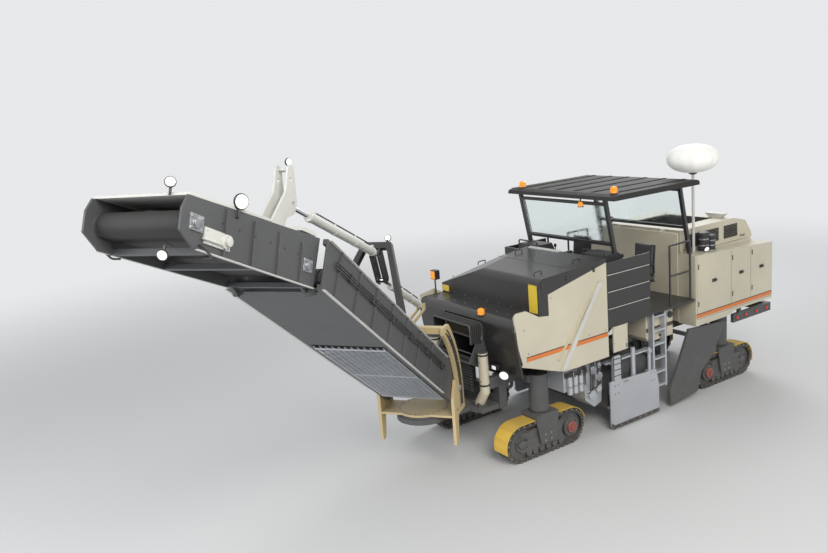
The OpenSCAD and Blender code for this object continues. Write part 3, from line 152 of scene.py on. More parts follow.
class Shader:
    """A node material, put together one node at a time."""

    def __init__(self, name):
        self.material = bpy.data.materials.new(name)
        self.material.use_nodes = True
        self.tree = self.material.node_tree
        self.surface = self.tree.nodes["Principled BSDF"]
        self.coords = self.node("TexCoord").outputs["Object"]

    def node(self, kind, values=None, **settings):
        made = self.tree.nodes.new("ShaderNode" + kind)
        for key, value in settings.items():
            setattr(made, key, value)
        for key, value in (values or {}).items():
            self.feed(made.inputs[key], value)
        return made

    def feed(self, socket, value):
        if isinstance(value, bpy.types.NodeSocket):
            self.tree.links.new(value, socket)
        else:
            socket.default_value = value

    def noise(self, scale, detail=4.0, rough=0.55):
        return self.node("TexNoise", {"Vector": self.coords, "Scale": scale, "Detail": detail,
                                      "Roughness": rough}).outputs["Fac"]

    def waves(self, scale, distortion=0.0, **settings):
        values = {"Vector": self.coords, "Scale": scale, "Distortion": distortion}
        return self.node("TexWave", values, **settings).outputs["Fac"]

    def spread(self, value, low, high, to_low=0.0, to_high=1.0):
        return self.node("MapRange", {"Value": value, "From Min": low, "From Max": high, "To Min": to_low,
                                      "To Max": to_high}).outputs["Result"]

    def maths(self, operation, a, b=0.0, clamp=False):
        return self.node("Math", {0: a, 1: b}, operation=operation, use_clamp=clamp).outputs[0]

    def mix(self, share, a, b):
        return self.node("Mix", {0: share, 6: a, 7: b}, data_type="RGBA").outputs[2]

    def paint(self, shade, plain):
        """The colour's own nodes, and the plain colour that stands for them."""
        self.feed(self.surface.inputs["Base Color"], shade)
        self.surface.inputs["Base Color"].default_value = plain

    def bump(self, strength, distance, height, **values):
        made = self.node("Bump", {"Strength": strength, "Distance": distance, "Height": height, **values})
        self.feed(self.surface.inputs["Normal"], made.outputs["Normal"])

    def fix(self, **values):
        """Values that are the same all over the surface, set on the shader itself."""
        for key, value in values.items():
            self.surface.inputs[key.replace("_", " ").title().replace("Ior", "IOR")].default_value = value


BACKGROUND = (0.80, 0.81, 0.82, 1)
DUST = (0.36, 0.33, 0.28, 1)
BARE = (0.30, 0.29, 0.28, 1)
EDGE_R = 0.006


def tint(colour, factor):
    return tuple(min(1.0, c * factor) for c in colour[:3]) + (1,)


def coated(name, colour, rough, chips, dust, metal=0.0, chip_colour=BARE, grain=70.0, bump=0.06, coat=0.0):
    """Paint, plastic, rubber or metal with broad shade changes, worn edges, dust low down and a fine grain."""
    s = Shader(name)
    broad = s.noise(0.9, 3.0)
    patch = s.noise(7.0, 7.0, 0.7)
    fine = s.noise(grain, 5.0)
    rounded = s.node("Bevel", {"Radius": EDGE_R}, samples=4).outputs["Normal"]
    normal = s.node("NewGeometry").outputs["Normal"]
    facing = s.node("VectorMath", {0: rounded, 1: normal}, operation="DOT_PRODUCT").outputs["Value"]
    worn = s.maths("MULTIPLY", s.spread(facing, 0.99, 0.80), s.spread(patch, 0.42, 0.62))
    worn = s.maths("MULTIPLY", worn, chips, clamp=True)
    shade = s.mix(s.spread(broad, 0.3, 0.7), tint(colour, 0.90), tint(colour, 1.06))
    shade = s.mix(worn, shade, chip_colour)
    place = s.node("SeparateXYZ", {0: s.coords}).outputs["Z"]
    level = s.node("SeparateXYZ", {0: normal}).outputs["Z"]
    low = s.spread(place, 1.5, 0.1, 0.12, 1.0)
    flat = s.spread(level, 0.4, 1.0, 0.35, 1.0)
    settled = s.maths("MULTIPLY", s.maths("MULTIPLY", low, flat), s.spread(patch, 0.30, 0.75, 0.3, 1.0))
    settled = s.maths("MULTIPLY", settled, dust, clamp=True)
    shade = s.mix(settled, shade, DUST)
    s.paint(shade, tint(colour, 1.0))
    uneven = s.spread(fine, 0.3, 0.7, rough - 0.07, rough + 0.09)
    s.feed(s.surface.inputs["Roughness"], s.maths("ADD", uneven, s.maths("MULTIPLY", settled, 0.5), clamp=True))
    s.bump(bump, 0.002, fine, Normal=rounded)
    s.fix(metallic=metal)
    if coat:
        s.fix(coat_weight=coat, coat_roughness=0.12)
    return s.material


def glowing(name, colour, strength, rough=0.15):
    """A lamp's lens, faintly lit and ribbed."""
    s = Shader(name)
    ribs = s.waves(28.0, 0.3)
    s.paint(s.mix(s.spread(ribs, 0, 1, 0, 0.35), colour, tint(colour, 0.75)), colour)
    s.bump(0.35, 0.003, ribs)
    s.fix(roughness=rough, emission_color=colour, emission_strength=strength)
    return s.material


def cloth(name, colour, threads=420.0, glow=0.0):
    """A woven fabric with a soft sheen."""
    s = Shader(name)
    woven = s.maths("MULTIPLY", *(s.waves(threads, bands_direction=d) for d in ("X", "Z")))
    s.paint(s.mix(s.spread(s.noise(3.0), 0.3, 0.7), tint(colour, 0.9), tint(colour, 1.04)), tint(colour, 1.0))
    s.bump(0.25, 0.001, woven)
    s.fix(roughness=0.85, sheen_weight=0.3)
    if glow:
        s.fix(emission_color=tint(colour, 1.0), emission_strength=glow)
    return s.material


def clear(name, colour):
    """Window glass with a little dust and rain marks."""
    s = Shader(name)
    marks = s.noise(14.0, 8.0, 0.75)
    s.feed(s.surface.inputs["Roughness"], s.spread(marks, 0.35, 0.75, 0.02, 0.22))
    s.paint(s.mix(s.spread(marks, 0.5, 0.9, 0.0, 0.4), colour, tint(colour, 0.8)), colour)
    s.fix(transmission_weight=1.0, ior=1.35)
    return s.material


# Roughness, chipped edges and dust follow the name and the colour
MATERIALS = {
    "cream": coated("cream_paint", (0.61, 0.56, 0.43), 0.34, 0.55, 0.35, coat=0.25),
    "matte": coated("matte_black", (0.021, 0.020, 0.019), 0.72, 0.25, 0.3),
    "black": coated("black_paint", (0.028, 0.027, 0.027), 0.38, 0.45, 0.45, coat=0.2),
    "grey": coated("grey_paint", (0.075, 0.077, 0.08), 0.45, 0.7, 0.55),
    "orange": coated("orange_paint", (0.72, 0.20, 0.035), 0.36, 0.4, 0.25, coat=0.25),
    "line": coated("dark_line", (0.10, 0.055, 0.04), 0.4, 0.3, 0.2),
    "yellow": coated("yellow_paint", (0.78, 0.50, 0.045), 0.4, 0.9, 0.5),
    "arm_cream": coated("arm_paint", (0.60, 0.47, 0.25), 0.4, 0.7, 0.35),
    "pale": coated("pale_paint", (0.62, 0.62, 0.58), 0.42, 0.6, 0.3),
    "sign": coated("plate_yellow", (0.90, 0.64, 0.05), 0.35, 0.3, 0.15, coat=0.2),
    "bright": coated("bright_steel", (0.56, 0.58, 0.61), 0.4, 0.5, 0.3, 0.55, (0.75, 0.75, 0.75, 1), 90.0, 0.1),
    "steel": coated("worn_steel", (0.36, 0.37, 0.39), 0.36, 0.3, 0.35, 0.85, (0.6, 0.6, 0.6, 1), 120.0, 0.12),
    "track": coated("track_steel", (0.055, 0.05, 0.046), 0.5, 0.9, 0.8, 0.6, (0.42, 0.39, 0.36, 1), 60.0, 0.3),
    "pad": coated("track_pad", (0.05, 0.047, 0.043), 0.7, 0.3, 0.9, grain=50.0, bump=0.4),
    "rust": coated("oxide_red", (0.30, 0.055, 0.035), 0.5, 0.8, 0.5),
    "rubber": coated("rubber", (0.022, 0.021, 0.021), 0.62, 0.0, 0.45, grain=90.0, bump=0.2),
    "plastic": coated("plastic", (0.030, 0.030, 0.032), 0.5, 0.0, 0.25, grain=300.0, bump=0.15),
    "chrome": coated("chrome", (0.75, 0.76, 0.78), 0.12, 0.0, 0.1, metal=1.0, bump=0.01),
    "seat": cloth("seat_cover", (0.035, 0.035, 0.04)),
    "balloon": cloth("lamp_cloth", (0.88, 0.87, 0.83), threads=260.0, glow=0.15),
    "lamp": glowing("lamp_glass", (0.92, 0.92, 0.88, 1), 0.5),
    "amber": glowing("amber_lens", (0.95, 0.32, 0.02, 1), 0.35),
    "red": glowing("red_lens", (0.65, 0.02, 0.01, 1), 0.15),
    "glass": clear("window_glass", (0.86, 0.93, 0.92, 1)),
    "dark_screen": coated("blank_screen", (0.01, 0.012, 0.014), 0.1, 0.0, 0.1, bump=0.0),
}
NODES_OF = {
    "grey": """frame axle_boxes tongue body_supports primary_conveyor drum_housing side_shields engine radiator
        lower_frame upper_frame""",
    "black": "front_hood platform railings roof_posts tower",
    "cream": "side_panels deck_tanks engine_bay lockers engine_hood",
    "bright": "service_units ladders side_plate_left side_plate_right underside_guard",
    "pale": "light_mast head_cover fold_arm lift_barrel fold_barrel",
    "chrome": "side_rod_left side_rod_right lift_rod fold_rod",
    "rubber": "transfer_bellows lower_belt upper_belt", "plastic": "consoles air_cleaners", "matte": "roof",
    "seat": "seats", "glass": "windscreens", "balloon": "balloon_light", "lamp": "work_lamps", "amber": "beacons",
    "steel": "milling_drum", "arm_cream": "slew_head",
}
CORNERS = ("fl", "fr", "rl", "rr")


def dress(kind, nodes):
    for node in nodes:
        mesh = frame["nodes"][node].data
        mesh.materials.clear()
        mesh.materials.append(MATERIALS[kind])


for kind, nodes in NODES_OF.items():
    dress(kind, nodes.split())
for kind, part in (("track", "track_"), ("grey", "crawler_frame_"), ("yellow", "fender_")):
    dress(kind, [part + corner for corner in CORNERS])


# Pieces

def angles(count):
    return [2 * math.pi * k / count for k in range(count)]


def circle(count, r, at=(0, 0)):
    return [(at[0] + r * math.cos(a), at[1] + r * math.sin(a)) for a in angles(count)]


def ring(at, side, other, r, sides):
    return [at + (side * math.cos(a) + other * math.sin(a)) * r for a in angles(sides)]


def ring_faces(rings, sides):
    """Faces between rings of points that follow each other, with a cap at both ends."""
    faces = [tuple(reversed(range(sides))), tuple(range((rings - 1) * sides, rings * sides))]
    for k in range(rings - 1):
        for i in range(sides):
            j = (i + 1) % sides
            faces.append((k * sides + i, k * sides + j, (k + 1) * sides + j, (k + 1) * sides + i))
    return faces


class Piece:
    """Faces for one object, given in millimetres and placed by a matrix."""

    def __init__(self, place=MACHINE):
        self.mesh = bmesh.new()
        self.place = place

    def add(self, points, faces):
        made = [self.mesh.verts.new(self.place @ Vector(p)) for p in points]
        for face in faces:
            self.mesh.faces.new([made[i] for i in face])

    def box(self, low, high):
        points = [(x, y, z) for x in (low[0], high[0]) for y in (low[1], high[1]) for z in (low[2], high[2])]
        self.add(points, [(0, 1, 3, 2), (4, 6, 7, 5), (0, 4, 5, 1), (2, 3, 7, 6), (0, 2, 6, 4), (1, 5, 7, 3)])

    def prism(self, outline, y_low, y_high):
        """A side outline of (x, z) points, drawn out across the machine."""
        n = len(outline)
        points = [(x, y, z) for y in (y_low, y_high) for x, z in outline]
        sides = [(i, (i + 1) % n, n + (i + 1) % n, n + i) for i in range(n)]
        self.add(points, [tuple(range(n)), tuple(range(2 * n - 1, n - 1, -1))] + sides)

    def lathe(self, at, axis, profile, sides=20):
        """Turns (radius, distance) pairs about an axis that starts at a point."""
        way = Vector(axis).normalized()
        side = way.orthogonal().normalized()
        other = way.cross(side)
        points = []
        for radius, along in profile:
            points += ring(Vector(at) + way * along, side, other, radius, sides)
        self.add(points, ring_faces(len(profile), sides))

    def rod(self, a, b, r, sides=16):
        span = Vector(b) - Vector(a)
        self.lathe(a, span, [(r, 0), (r, span.length)], sides)

    def tube(self, points, r, sides=10, bend=60):
        """A pipe along straight runs, its corners rounded by arcs."""
        path = rounded_path([Vector(p) for p in points], bend)
        points, side = [], None
        for i, p in enumerate(path):
            way = (path[min(i + 1, len(path) - 1)] - path[max(i - 1, 0)]).normalized()
            side = way.orthogonal().normalized() if side is None else (side - way * side.dot(way)).normalized()
            points += ring(p, side, way.cross(side), r, sides)
        self.add(points, ring_faces(len(path), sides))

    def handle(self, x, y, z, r, **shape):
        """A level grip between two places on a side: x from and to, y at the side and out."""
        self.tube([(x[0], y[0], z), (x[0], y[1], z), (x[1], y[1], z), (x[1], y[0], z)], r, **shape)

    def shell(self, outer, inner):
        """A sheet with thickness between two grids of points, its edges closed."""
        rows, row = len(outer), len(outer[0])
        points = [p for grid in (outer, inner) for ring in grid for p in ring]
        base = rows * row
        faces = []
        for k in range(rows - 1):
            for i in range(row - 1):
                a, b = k * row + i, base + k * row + i
                faces += [(a, a + 1, a + row + 1, a + row), (b, b + row, b + row + 1, b + 1)]
        rim = list(range(row)) + [k * row + row - 1 for k in range(1, rows)]
        rim += list(range(base - 2, base - row - 1, -1)) + [k * row for k in range(rows - 2, 0, -1)]
        faces += [(a, b, base + b, base + a) for a, b in zip(rim, rim[1:] + rim[:1])]
        self.add(points, faces)

    def bolts(self, points, axis, r=11, h=9):
        """Hexagonal heads on their washers."""
        for p in points:
            self.lathe(p, axis, [(r * 1.5, 0), (r * 1.5, h * 0.25), (r, h * 0.25), (r, h * 0.9), (r * 0.8, h)], 6)

    def done(self, name, kind, body="chassis", bevel=0.0):
        bmesh.ops.recalc_face_normals(self.mesh, faces=self.mesh.faces)
        data = bpy.data.meshes.new(name)
        self.mesh.to_mesh(data)
        self.mesh.free()
        data.polygons.foreach_set("use_smooth", [True] * len(data.polygons))
        data.set_sharp_from_angle(angle=0.6)
        data.materials.append(MATERIALS[kind])
        made = bpy.data.objects.new(name, data)
        bpy.context.scene.collection.objects.link(made)
        if bevel:
            edge = made.modifiers.new("bevel", "BEVEL")
            edge.width, edge.segments, edge.limit_method = bevel / 1000, 2, "ANGLE"
        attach(made, body)
        return made


SIDES = ((1, "left"), (-1, "right"))


def pieces(count, place=MACHINE):
    return [Piece(place) for _ in range(count)]


def both_sides(place, *made):
    """1 and then -1, for the left and the right, with the pieces placed on that side."""
    for side in (1, -1):
        for piece in made:
            piece.place = mirrored(place, side)
        yield side


def rounded_path(points, bend):
    path = [points[0]]
    for a, b, c in zip(points, points[1:], points[2:]):
        inward, outward = b - a, c - b
        cut = min(bend, inward.length * 0.45, outward.length * 0.45)
        start, end = b - inward.normalized() * cut, b + outward.normalized() * cut
        for i in range(6):
            t = i / 5
            path.append(start * (1 - t) ** 2 + b * 2 * t * (1 - t) + end * t * t)
    path.append(points[-1])
    return path


def stripes():
    """The orange band with its dark upper line along both sides."""
    for kind, name, low, high in (("orange", "stripe", 0, 62), ("line", "stripe_line", 62, 78)):
        piece = Piece()
        for _ in both_sides(MACHINE, piece):
            piece.box((1012, SIDE_Y - 1, 1676 + low), (2742, SIDE_Y + 2, 1676 + high))
            piece.box((REAR_X + 10, SIDE_Y - 1, 1472 + low), (LOCKER_FRONT_X - 12, SIDE_Y + 2, 1472 + high))
        piece.done(name, kind)


def side_trim():
    """Bolts, locks and seams of the side panels and the lockers."""
    bolts, seams, locks = pieces(3)
    for _ in both_sides(MACHINE, bolts, seams, locks):
        bolts.bolts([(x, SIDE_Y, 1800) for x in (1060, 1420, 2700)] + [(2760, SIDE_Y, 2180), (2200, SIDE_Y, 2560)],
                    Y, 9, 7)
        for x in (-1225, -2180, -2760):
            seams.box((x, SIDE_Y - 1, 1560), (x + 5, SIDE_Y + 1.5, locker_top(x) - 12))
        seams.box((REAR_X + 8, SIDE_Y - 1, 1448), (-1200, SIDE_Y + 1.5, 1453))
        for x in (-1700, -2470, -3080):
            locks.box((x - 60, SIDE_Y, 2050), (x + 60, SIDE_Y + 6, 2110))
            locks.handle((x - 45, x + 45), (SIDE_Y + 4, SIDE_Y + 34), 2080, 7, bend=14)
        for x in (-1260, -2215, -2795):
            for z in (1680, 2350):
                locks.rod((x, SIDE_Y + 6, z), (x, SIDE_Y + 6, z + 90), 8)
    bolts.done("side_bolts", "steel")
    seams.done("locker_seams", "line")
    locks.done("locker_handles", "black")


def fold_rise(at, pitch):
    """Height of a rubber fold from 0 to 1, with a round crest and a tight valley."""
    return abs(math.sin(math.pi * at / pitch)) ** 0.7


def bellows():
    """Rubber folds round the primary conveyor's head, and the pleated curtain that hangs before it."""
    folds = Piece()
    half, top, foot, corner = CHUTE_W / 2 + 30, 2190, 1902, 45
    outer, inner = [], []
    steps = 60
    for k in range(steps + 1):
        x = NOSE_X + 25 + 218 * k / steps
        grown = 24 * fold_rise(x - NOSE_X - 25, 218 / 5)
        for grid, t in ((outer, 0), (inner, 9)):
            wide, high = half + grown - t, top + grown - t
            bend = [(wide - corner + corner * math.cos(a), high - corner + corner * math.sin(a))
                    for a in (math.radians(15 * i) for i in range(7))]
            right = [(wide, foot), (wide, (foot + high) / 2)] + bend
            path = right + [(-y, z) for y, z in reversed(right)]
            grid.append([(x, y, z) for y, z in path])
    folds.shell(outer, inner)
    rings, sides = 96, 6
    middle, low, high = 3137.5, 1082, 1650
    points = []
    for k in range(rings + 1):
        z = low + (high - low) * k / rings
        grown = fold_rise(z - low, (high - low) / 12)
        deep, wide, r = 27 + 14 * grown, 370 + 23 * grown, 22
        for sx, sy, first in ((1, 1, 0), (-1, 1, 90), (-1, -1, 180), (1, -1, 270)):
            for i in range(sides):
                a = math.radians(first + 90 * i / (sides - 1))
                points.append((middle + sx * (deep - r) + r * math.cos(a), sy * (wide - r) + r * math.sin(a), z))
    folds.add(points, ring_faces(rings + 1, 4 * sides))
    made = folds.done("bellows_folds", "rubber")
    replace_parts(made, "transfer_bellows")
    rims = Piece()
    for x in (NOSE_X + 12, NOSE_X + 244):
        rims.tube([(x, y * (half + 10), z) for y, z in ((1, foot), (1, top + 12), (-1, top + 12), (-1, foot))], 10,
                  sides=8, bend=50)
    rims.done("bellows_rims", "grey")


def hood_trim():
    """Blank plates, seams, grips and strip of the hood, a lamp on a post, strut faces and covers of the legs."""
    plates, backs, bolts, seams, grips = pieces(5)
    for side, top in ((1, 2800), (-1, 2470)):
        for piece in (plates, backs, bolts):
            piece.place = mirrored(MACHINE, side)
        backs.box((HOOD_FACE_X - 1, 1030, LEDGE_Z + 10), (HOOD_FACE_X + 6, 1244, top + 14))
        plates.box((HOOD_FACE_X + 5, 1042, LEDGE_Z + 22), (HOOD_FACE_X + 9, 1232, top))
        bolts.bolts([(HOOD_FACE_X + 8, y, z) for y in (1056, 1218) for z in (LEDGE_Z + 36, top - 14)], X, 6, 5)
    for x in (1020, 1720):
        h = hood_line(x)
        seams.prism([(x, h - 2), (x + 6, h - 2), (x + 6, h + 2), (x, h + 2)], -560, SIDE_Y - 2)
    h = hood_line(1040)
    strip = Piece()
    strip.prism([(1006, h - 1), (1074, h - 5), (1074, h + 12), (1012, h + 24)], -510, 240)
    strip.done("hood_strip", "pale")
    for x, y in ((1330, 1000), (2140, 1000), (1330, -380), (2140, -380)):
        h, end = hood_line(x), x + 150
        grips.tube([(x, y, h - 2), (x, y, h + 48), (end, y, h + 40), (end, y, hood_line(end) - 2)], 9, bend=25)
    for x in (1280, 1850, 2360):
        h = hood_line(x) - 90
        grips.box((x - 22, SIDE_Y - 1, h - 60), (x + 22, SIDE_Y + 9, h + 20))
        grips.lathe((x, SIDE_Y + 8, h - 20), Y, [(13, 0), (13, 6), (8, 10)], 16)
    bolts.place = MACHINE
    bolts.bolts([(HOOD_FACE_X - 2, y, LEDGE_Z + 30) for y in range(-900, 1000, 300)], X, 8, 7)
    bolts.bolts([(NOSE_X - 260, y, LEDGE_Z - 1) for y in range(-1100, 1200, 275)], Z, 8, 6)
    plates.done("hood_plates", "sign", bevel=1)
    backs.done("hood_plate_backs", "black", bevel=1)
    bolts.done("hood_bolts", "steel")
    seams.done("hood_seams", "line")
    grips.done("hood_grips", "black")
    post = Piece()
    post.tube([(2660, -1150, LEDGE_Z - 2), (2660, -1150, 2620)], 14)
    post.lathe((2660, -1150, LEDGE_Z - 1), Z, [(40, 0), (40, 8), (16, 12)], 20)
    post.box((2600, -1220, 2610), (2700, -1080, 2770))
    post.done("corner_lamp_post", "black", bevel=6)
    lens = Piece()
    lens.box((2698, -1208, 2624), (2708, -1092, 2756))
    lens.done("corner_lamp_lens", "amber", bevel=4)
    rods = Piece()
    for _ in both_sides(MACHINE, rods):
        rods.prism([(1130, 2620), (1222, 2620), (2092, 1370), (1988, 1370)], SIDE_Y + 38, SIDE_Y + 42)
    rods.done("strut_faces", "pale", bevel=1)
    legs, collars = pieces(2)
    for _ in both_sides(MACHINE, legs, collars):
        legs.tube([(*LEG_AT, 1788), (*LEG_AT, 1150), (LEG_AT[0], 475, 914)], LEG_R, sides=32, bend=8)
        for z in (1250, 1740):
            collars.lathe((*LEG_AT, z), Z, [(LEG_R + 1, 0), (LEG_R + 7, 4), (LEG_R + 7, 26), (LEG_R + 1, 30)], 32)
        collars.bolts([(LEG_AT[0] + LEG_R - 1, LEG_AT[1], z) for z in (1330, 1640)], X, 9, 8)
    legs.done("leg_covers", "cream")
    collars.done("leg_collars", "black")


def unit_trim():
    """Pipes and fittings of the units beside the rails, and the bands, caps and straps of the tanks."""
    pipes, steel, bands, caps = pieces(4)
    x0, y0, z0 = STACK_AT
    for _ in both_sides(MACHINE, pipes, steel, bands, caps):
        for i in range(6):
            x = x0 + 26 + 52 * i
            out = y0 + 34 + 14 * (i % 3)
            pipes.tube([(x, y0 - 2, z0 + 370), (x, out, z0 + 370), (x, out, z0 + 40 + 22 * i),
                        (x + 8, out - 6, z0 - 40 - 18 * i), (x + 8, y0 - 22, z0 - 60 - 18 * i)], 11, bend=40)
            steel.lathe((x, y0 - 1, z0 + 370), Y, [(19, 0), (19, 14), (14, 16), (14, 24)], 6)
        for i in range(4):
            z = z0 + 300 - 24 * i
            route = ((300, -4), (360, 24), (700, 24), (760, -60))
            pipes.tube([(x0 + dx, y0 + dy, z) for dx, dy in route], 9, sides=8, bend=40)
        for x in (x0 + 440, x0 + 620):
            steel.box((x, y0 - 52, z0 + 215), (x + 24, y0 + 38, z0 + 312))
        for x, z, r in ((90, 110, 70), (235, 250, 60), (85, 300, 45)):
            cap = ((0.82, 0), (0.82, 8), (0.4, 12), (0.4, 26), (0.2, 30))
            steel.lathe((x0 + x, y0 + 64, z0 + z), Y, [(r * share, h) for share, h in cap], 24)
            steel.bolts([(bx, y0 + 70, bz) for bx, bz in circle(6, r * 0.64, (x0 + x, z0 + z))], Y, 6, 6)
        for k in range(3):
            x = x0 + 440 + 120 * k
            caps.lathe((x, y0 - 10, z0 + 240), Z, [(45, 0), (34, 18), (14, 24), (14, 40), (8, 44)], 20)
            steel.lathe((x, y0 - 10, z0 + 60), Z, [(48, 0), (48, 22)], 24)
        bands.box((-768, TANK_Y - 1, 1438), (-82, TANK_Y + 3, 1508))
        for x in (-610, -240):
            steel.box((x, TANK_Y - 1, 1262), (x + 44, TANK_Y + 5, 1756))
            steel.bolts([(x + 22, TANK_Y + 4, z) for z in (1300, 1560, 1720)], Y, 8, 8)
        caps.lathe((-690, TANK_Y - 1, 1640), Y, [(58, 0), (58, 12), (50, 14), (50, 34), (44, 40)], 28)
        caps.lathe((-420, TANK_Y - 1, 1330), Y, [(20, 0), (20, 14), (12, 16), (12, 30)], 6)
        steel.box((578, SIDE_Y + 13, 1400), (620, SIDE_Y + 20, 1470))
        steel.bolts([(x, SIDE_Y + 13, z) for x in (590, 880) for z in (1520, 1770)], Y, 7, 6)
    pipes.done("unit_pipes", "black")
    steel.done("unit_fittings", "steel")
    bands.done("tank_bands", "line")
    caps.done("tank_caps", "plastic")


def rear_trim():
    """Grille and lamps of the rear, and the louvres, latches and cowl of the engine hood."""
    grille, frame_bars, lenses, bolts = pieces(4)
    face = REAR_X
    for i in range(30):
        z = 1440 + i * 33
        grille.prism([(face + 1, z + 20), (face - 20, z), (face - 20, z - 5), (face + 1, z + 13)], -790, 790)
    for y in (-810, -270, 270, 810):
        frame_bars.box((face - 26, y - 12, 1420), (face + 1, y + 12, 2460))
    for z in (1408, 2448):
        frame_bars.box((face - 26, -822, z), (face + 1, 822, z + 22))
    for _ in both_sides(MACHINE, lenses, bolts, frame_bars):
        for x in (-3340, -3020, -2700, -2440):
            lenses.lathe((x, SIDE_Y - 61, BUMPER_Z + 80), Y, [(34, 0), (34, 10), (24, 18), (8, 20)], 24)
            frame_bars.lathe((x, SIDE_Y - 61, BUMPER_Z + 80), Y, [(42, 0), (42, 8), (34, 9)], 24)
        for z in (BUMPER_Z + 40, BUMPER_Z + 110):
            lenses.box((face - 68, 880, z - 22), (face - 58, 1080, z + 22))
        bolts.bolts([(face - 60, y, BUMPER_Z + 80) for y in (360, 560, 820, 1130)], (-1, 0, 0), 12, 9)
    grille.done("radiator_slats", "matte")
    frame_bars.done("radiator_frame", "black")
    lenses.done("rear_lenses", "red", bevel=2)
    bolts.done("bumper_bolts", "steel")

    side_at = BAY_Y - 20
    slats, latches = pieces(2)
    for _ in both_sides(MACHINE, slats, latches):
        for x in (-2900, -2350, -1800):
            for i in range(9):
                z = 2660 + i * 27
                edge = ((x, side_at - 1), (x + 400, side_at - 1), (x + 400, side_at + 14), (x, side_at + 14))
                slats.add([(*p, z + dz) for p, dz in zip(edge * 2, (16, 16, 0, 0, 10, 10, -4, -4))],
                          [(0, 1, 2, 3), (7, 6, 5, 4), (0, 3, 7, 4), (1, 5, 6, 2), (3, 2, 6, 7), (0, 4, 5, 1)])
        for x in (-3050, -1420):
            latches.handle((x - 50, x + 50), (side_at - 2, side_at + 30), 2640, 8, bend=18)
    latches.place = slats.place = MACHINE
    top = ENGINE_HOOD_Z
    for i in range(16):
        x = -2560 + i * 52
        slats.prism([(x, top - 1), (x + 30, top + 11), (x + 34, top + 11), (x + 34, top - 1)], -520, 520)
    for x in (-2592, -1720):
        latches.box((x, -545, top - 1), (x + 24, 545, top + 9))
    slats.done("hood_louvres", "matte", "engine_hood")
    latches.done("engine_hood_latches", "black", "engine_hood", bevel=3)
    lid = Piece()
    foot, head = top - 1, top + 88
    lid.add([(-2720 + sx * dx, 540 + sy * dy, z) for dx, dy, z in ((50, 130, foot), (72, 210, head))
             for sx, sy in ((-1, -1), (1, -1), (1, 1), (-1, 1))],
            [(3, 2, 1, 0), (4, 5, 6, 7), (0, 1, 5, 4), (1, 2, 6, 5), (2, 3, 7, 6), (3, 0, 4, 7)])
    lid.done("engine_hood_cowl", "pale", "engine_hood", bevel=8)


def plate_trim():
    """Wear shoe, strips, bolts and grip of each side plate, studs on the ladders and rails of the front guard."""
    back = SIDE_Y - 16
    for side, word in SIDES:
        shoe, heads = pieces(2, mirrored(MACHINE, side))
        shoe.prism([(-196, 41), (916, 41), (976, 101), (976, 150), (900, 96), (-196, 96)], back, back + 10)
        for x, top in ((700, 1250), (880, 1288)):
            shoe.box((x, back, 870), (x + 20, back + 6, top))
        for z in (940, 1040, 1140, 1230):
            shoe.box((720, back, z), (880, back + 5, z + 14))
        heads.bolts([(x, back + 10, 68) for x in range(-150, 900, 150)], Y, 11, 8)
        heads.bolts([(x, back + 1, z) for x in (-90, -10, 790, 870) for z in (640, 780)], Y, 10, 8)
        heads.handle((560, 660), (back, back + 14), 800, 8, bend=14)
        shoe.done("side_plate_shoe_" + word, "track", "side_plate_" + word, bevel=2)
        heads.done("side_plate_bolts_" + word, "steel", "side_plate_" + word)
    treads, rails = pieces(2)
    for _ in both_sides(MACHINE, treads, rails):
        for z in (450, 700, 950, 1200, 1450, 1700):
            for i in range(9):
                for y in (SIDE_Y - 146, SIDE_Y - 118, SIDE_Y - 90):
                    treads.lathe((-415 + 29 * i, y, z + 30), Z, [(9, 0), (7, 4), (4, 5)], 8)
        for z in (2120, 2400, 2680):
            rails.handle((20, 975), (SIDE_Y - 1, SIDE_Y + 14), z, 6, sides=8, bend=12)
    treads.done("ladder_studs", "steel")
    rails.done("guard_rails", "pale")


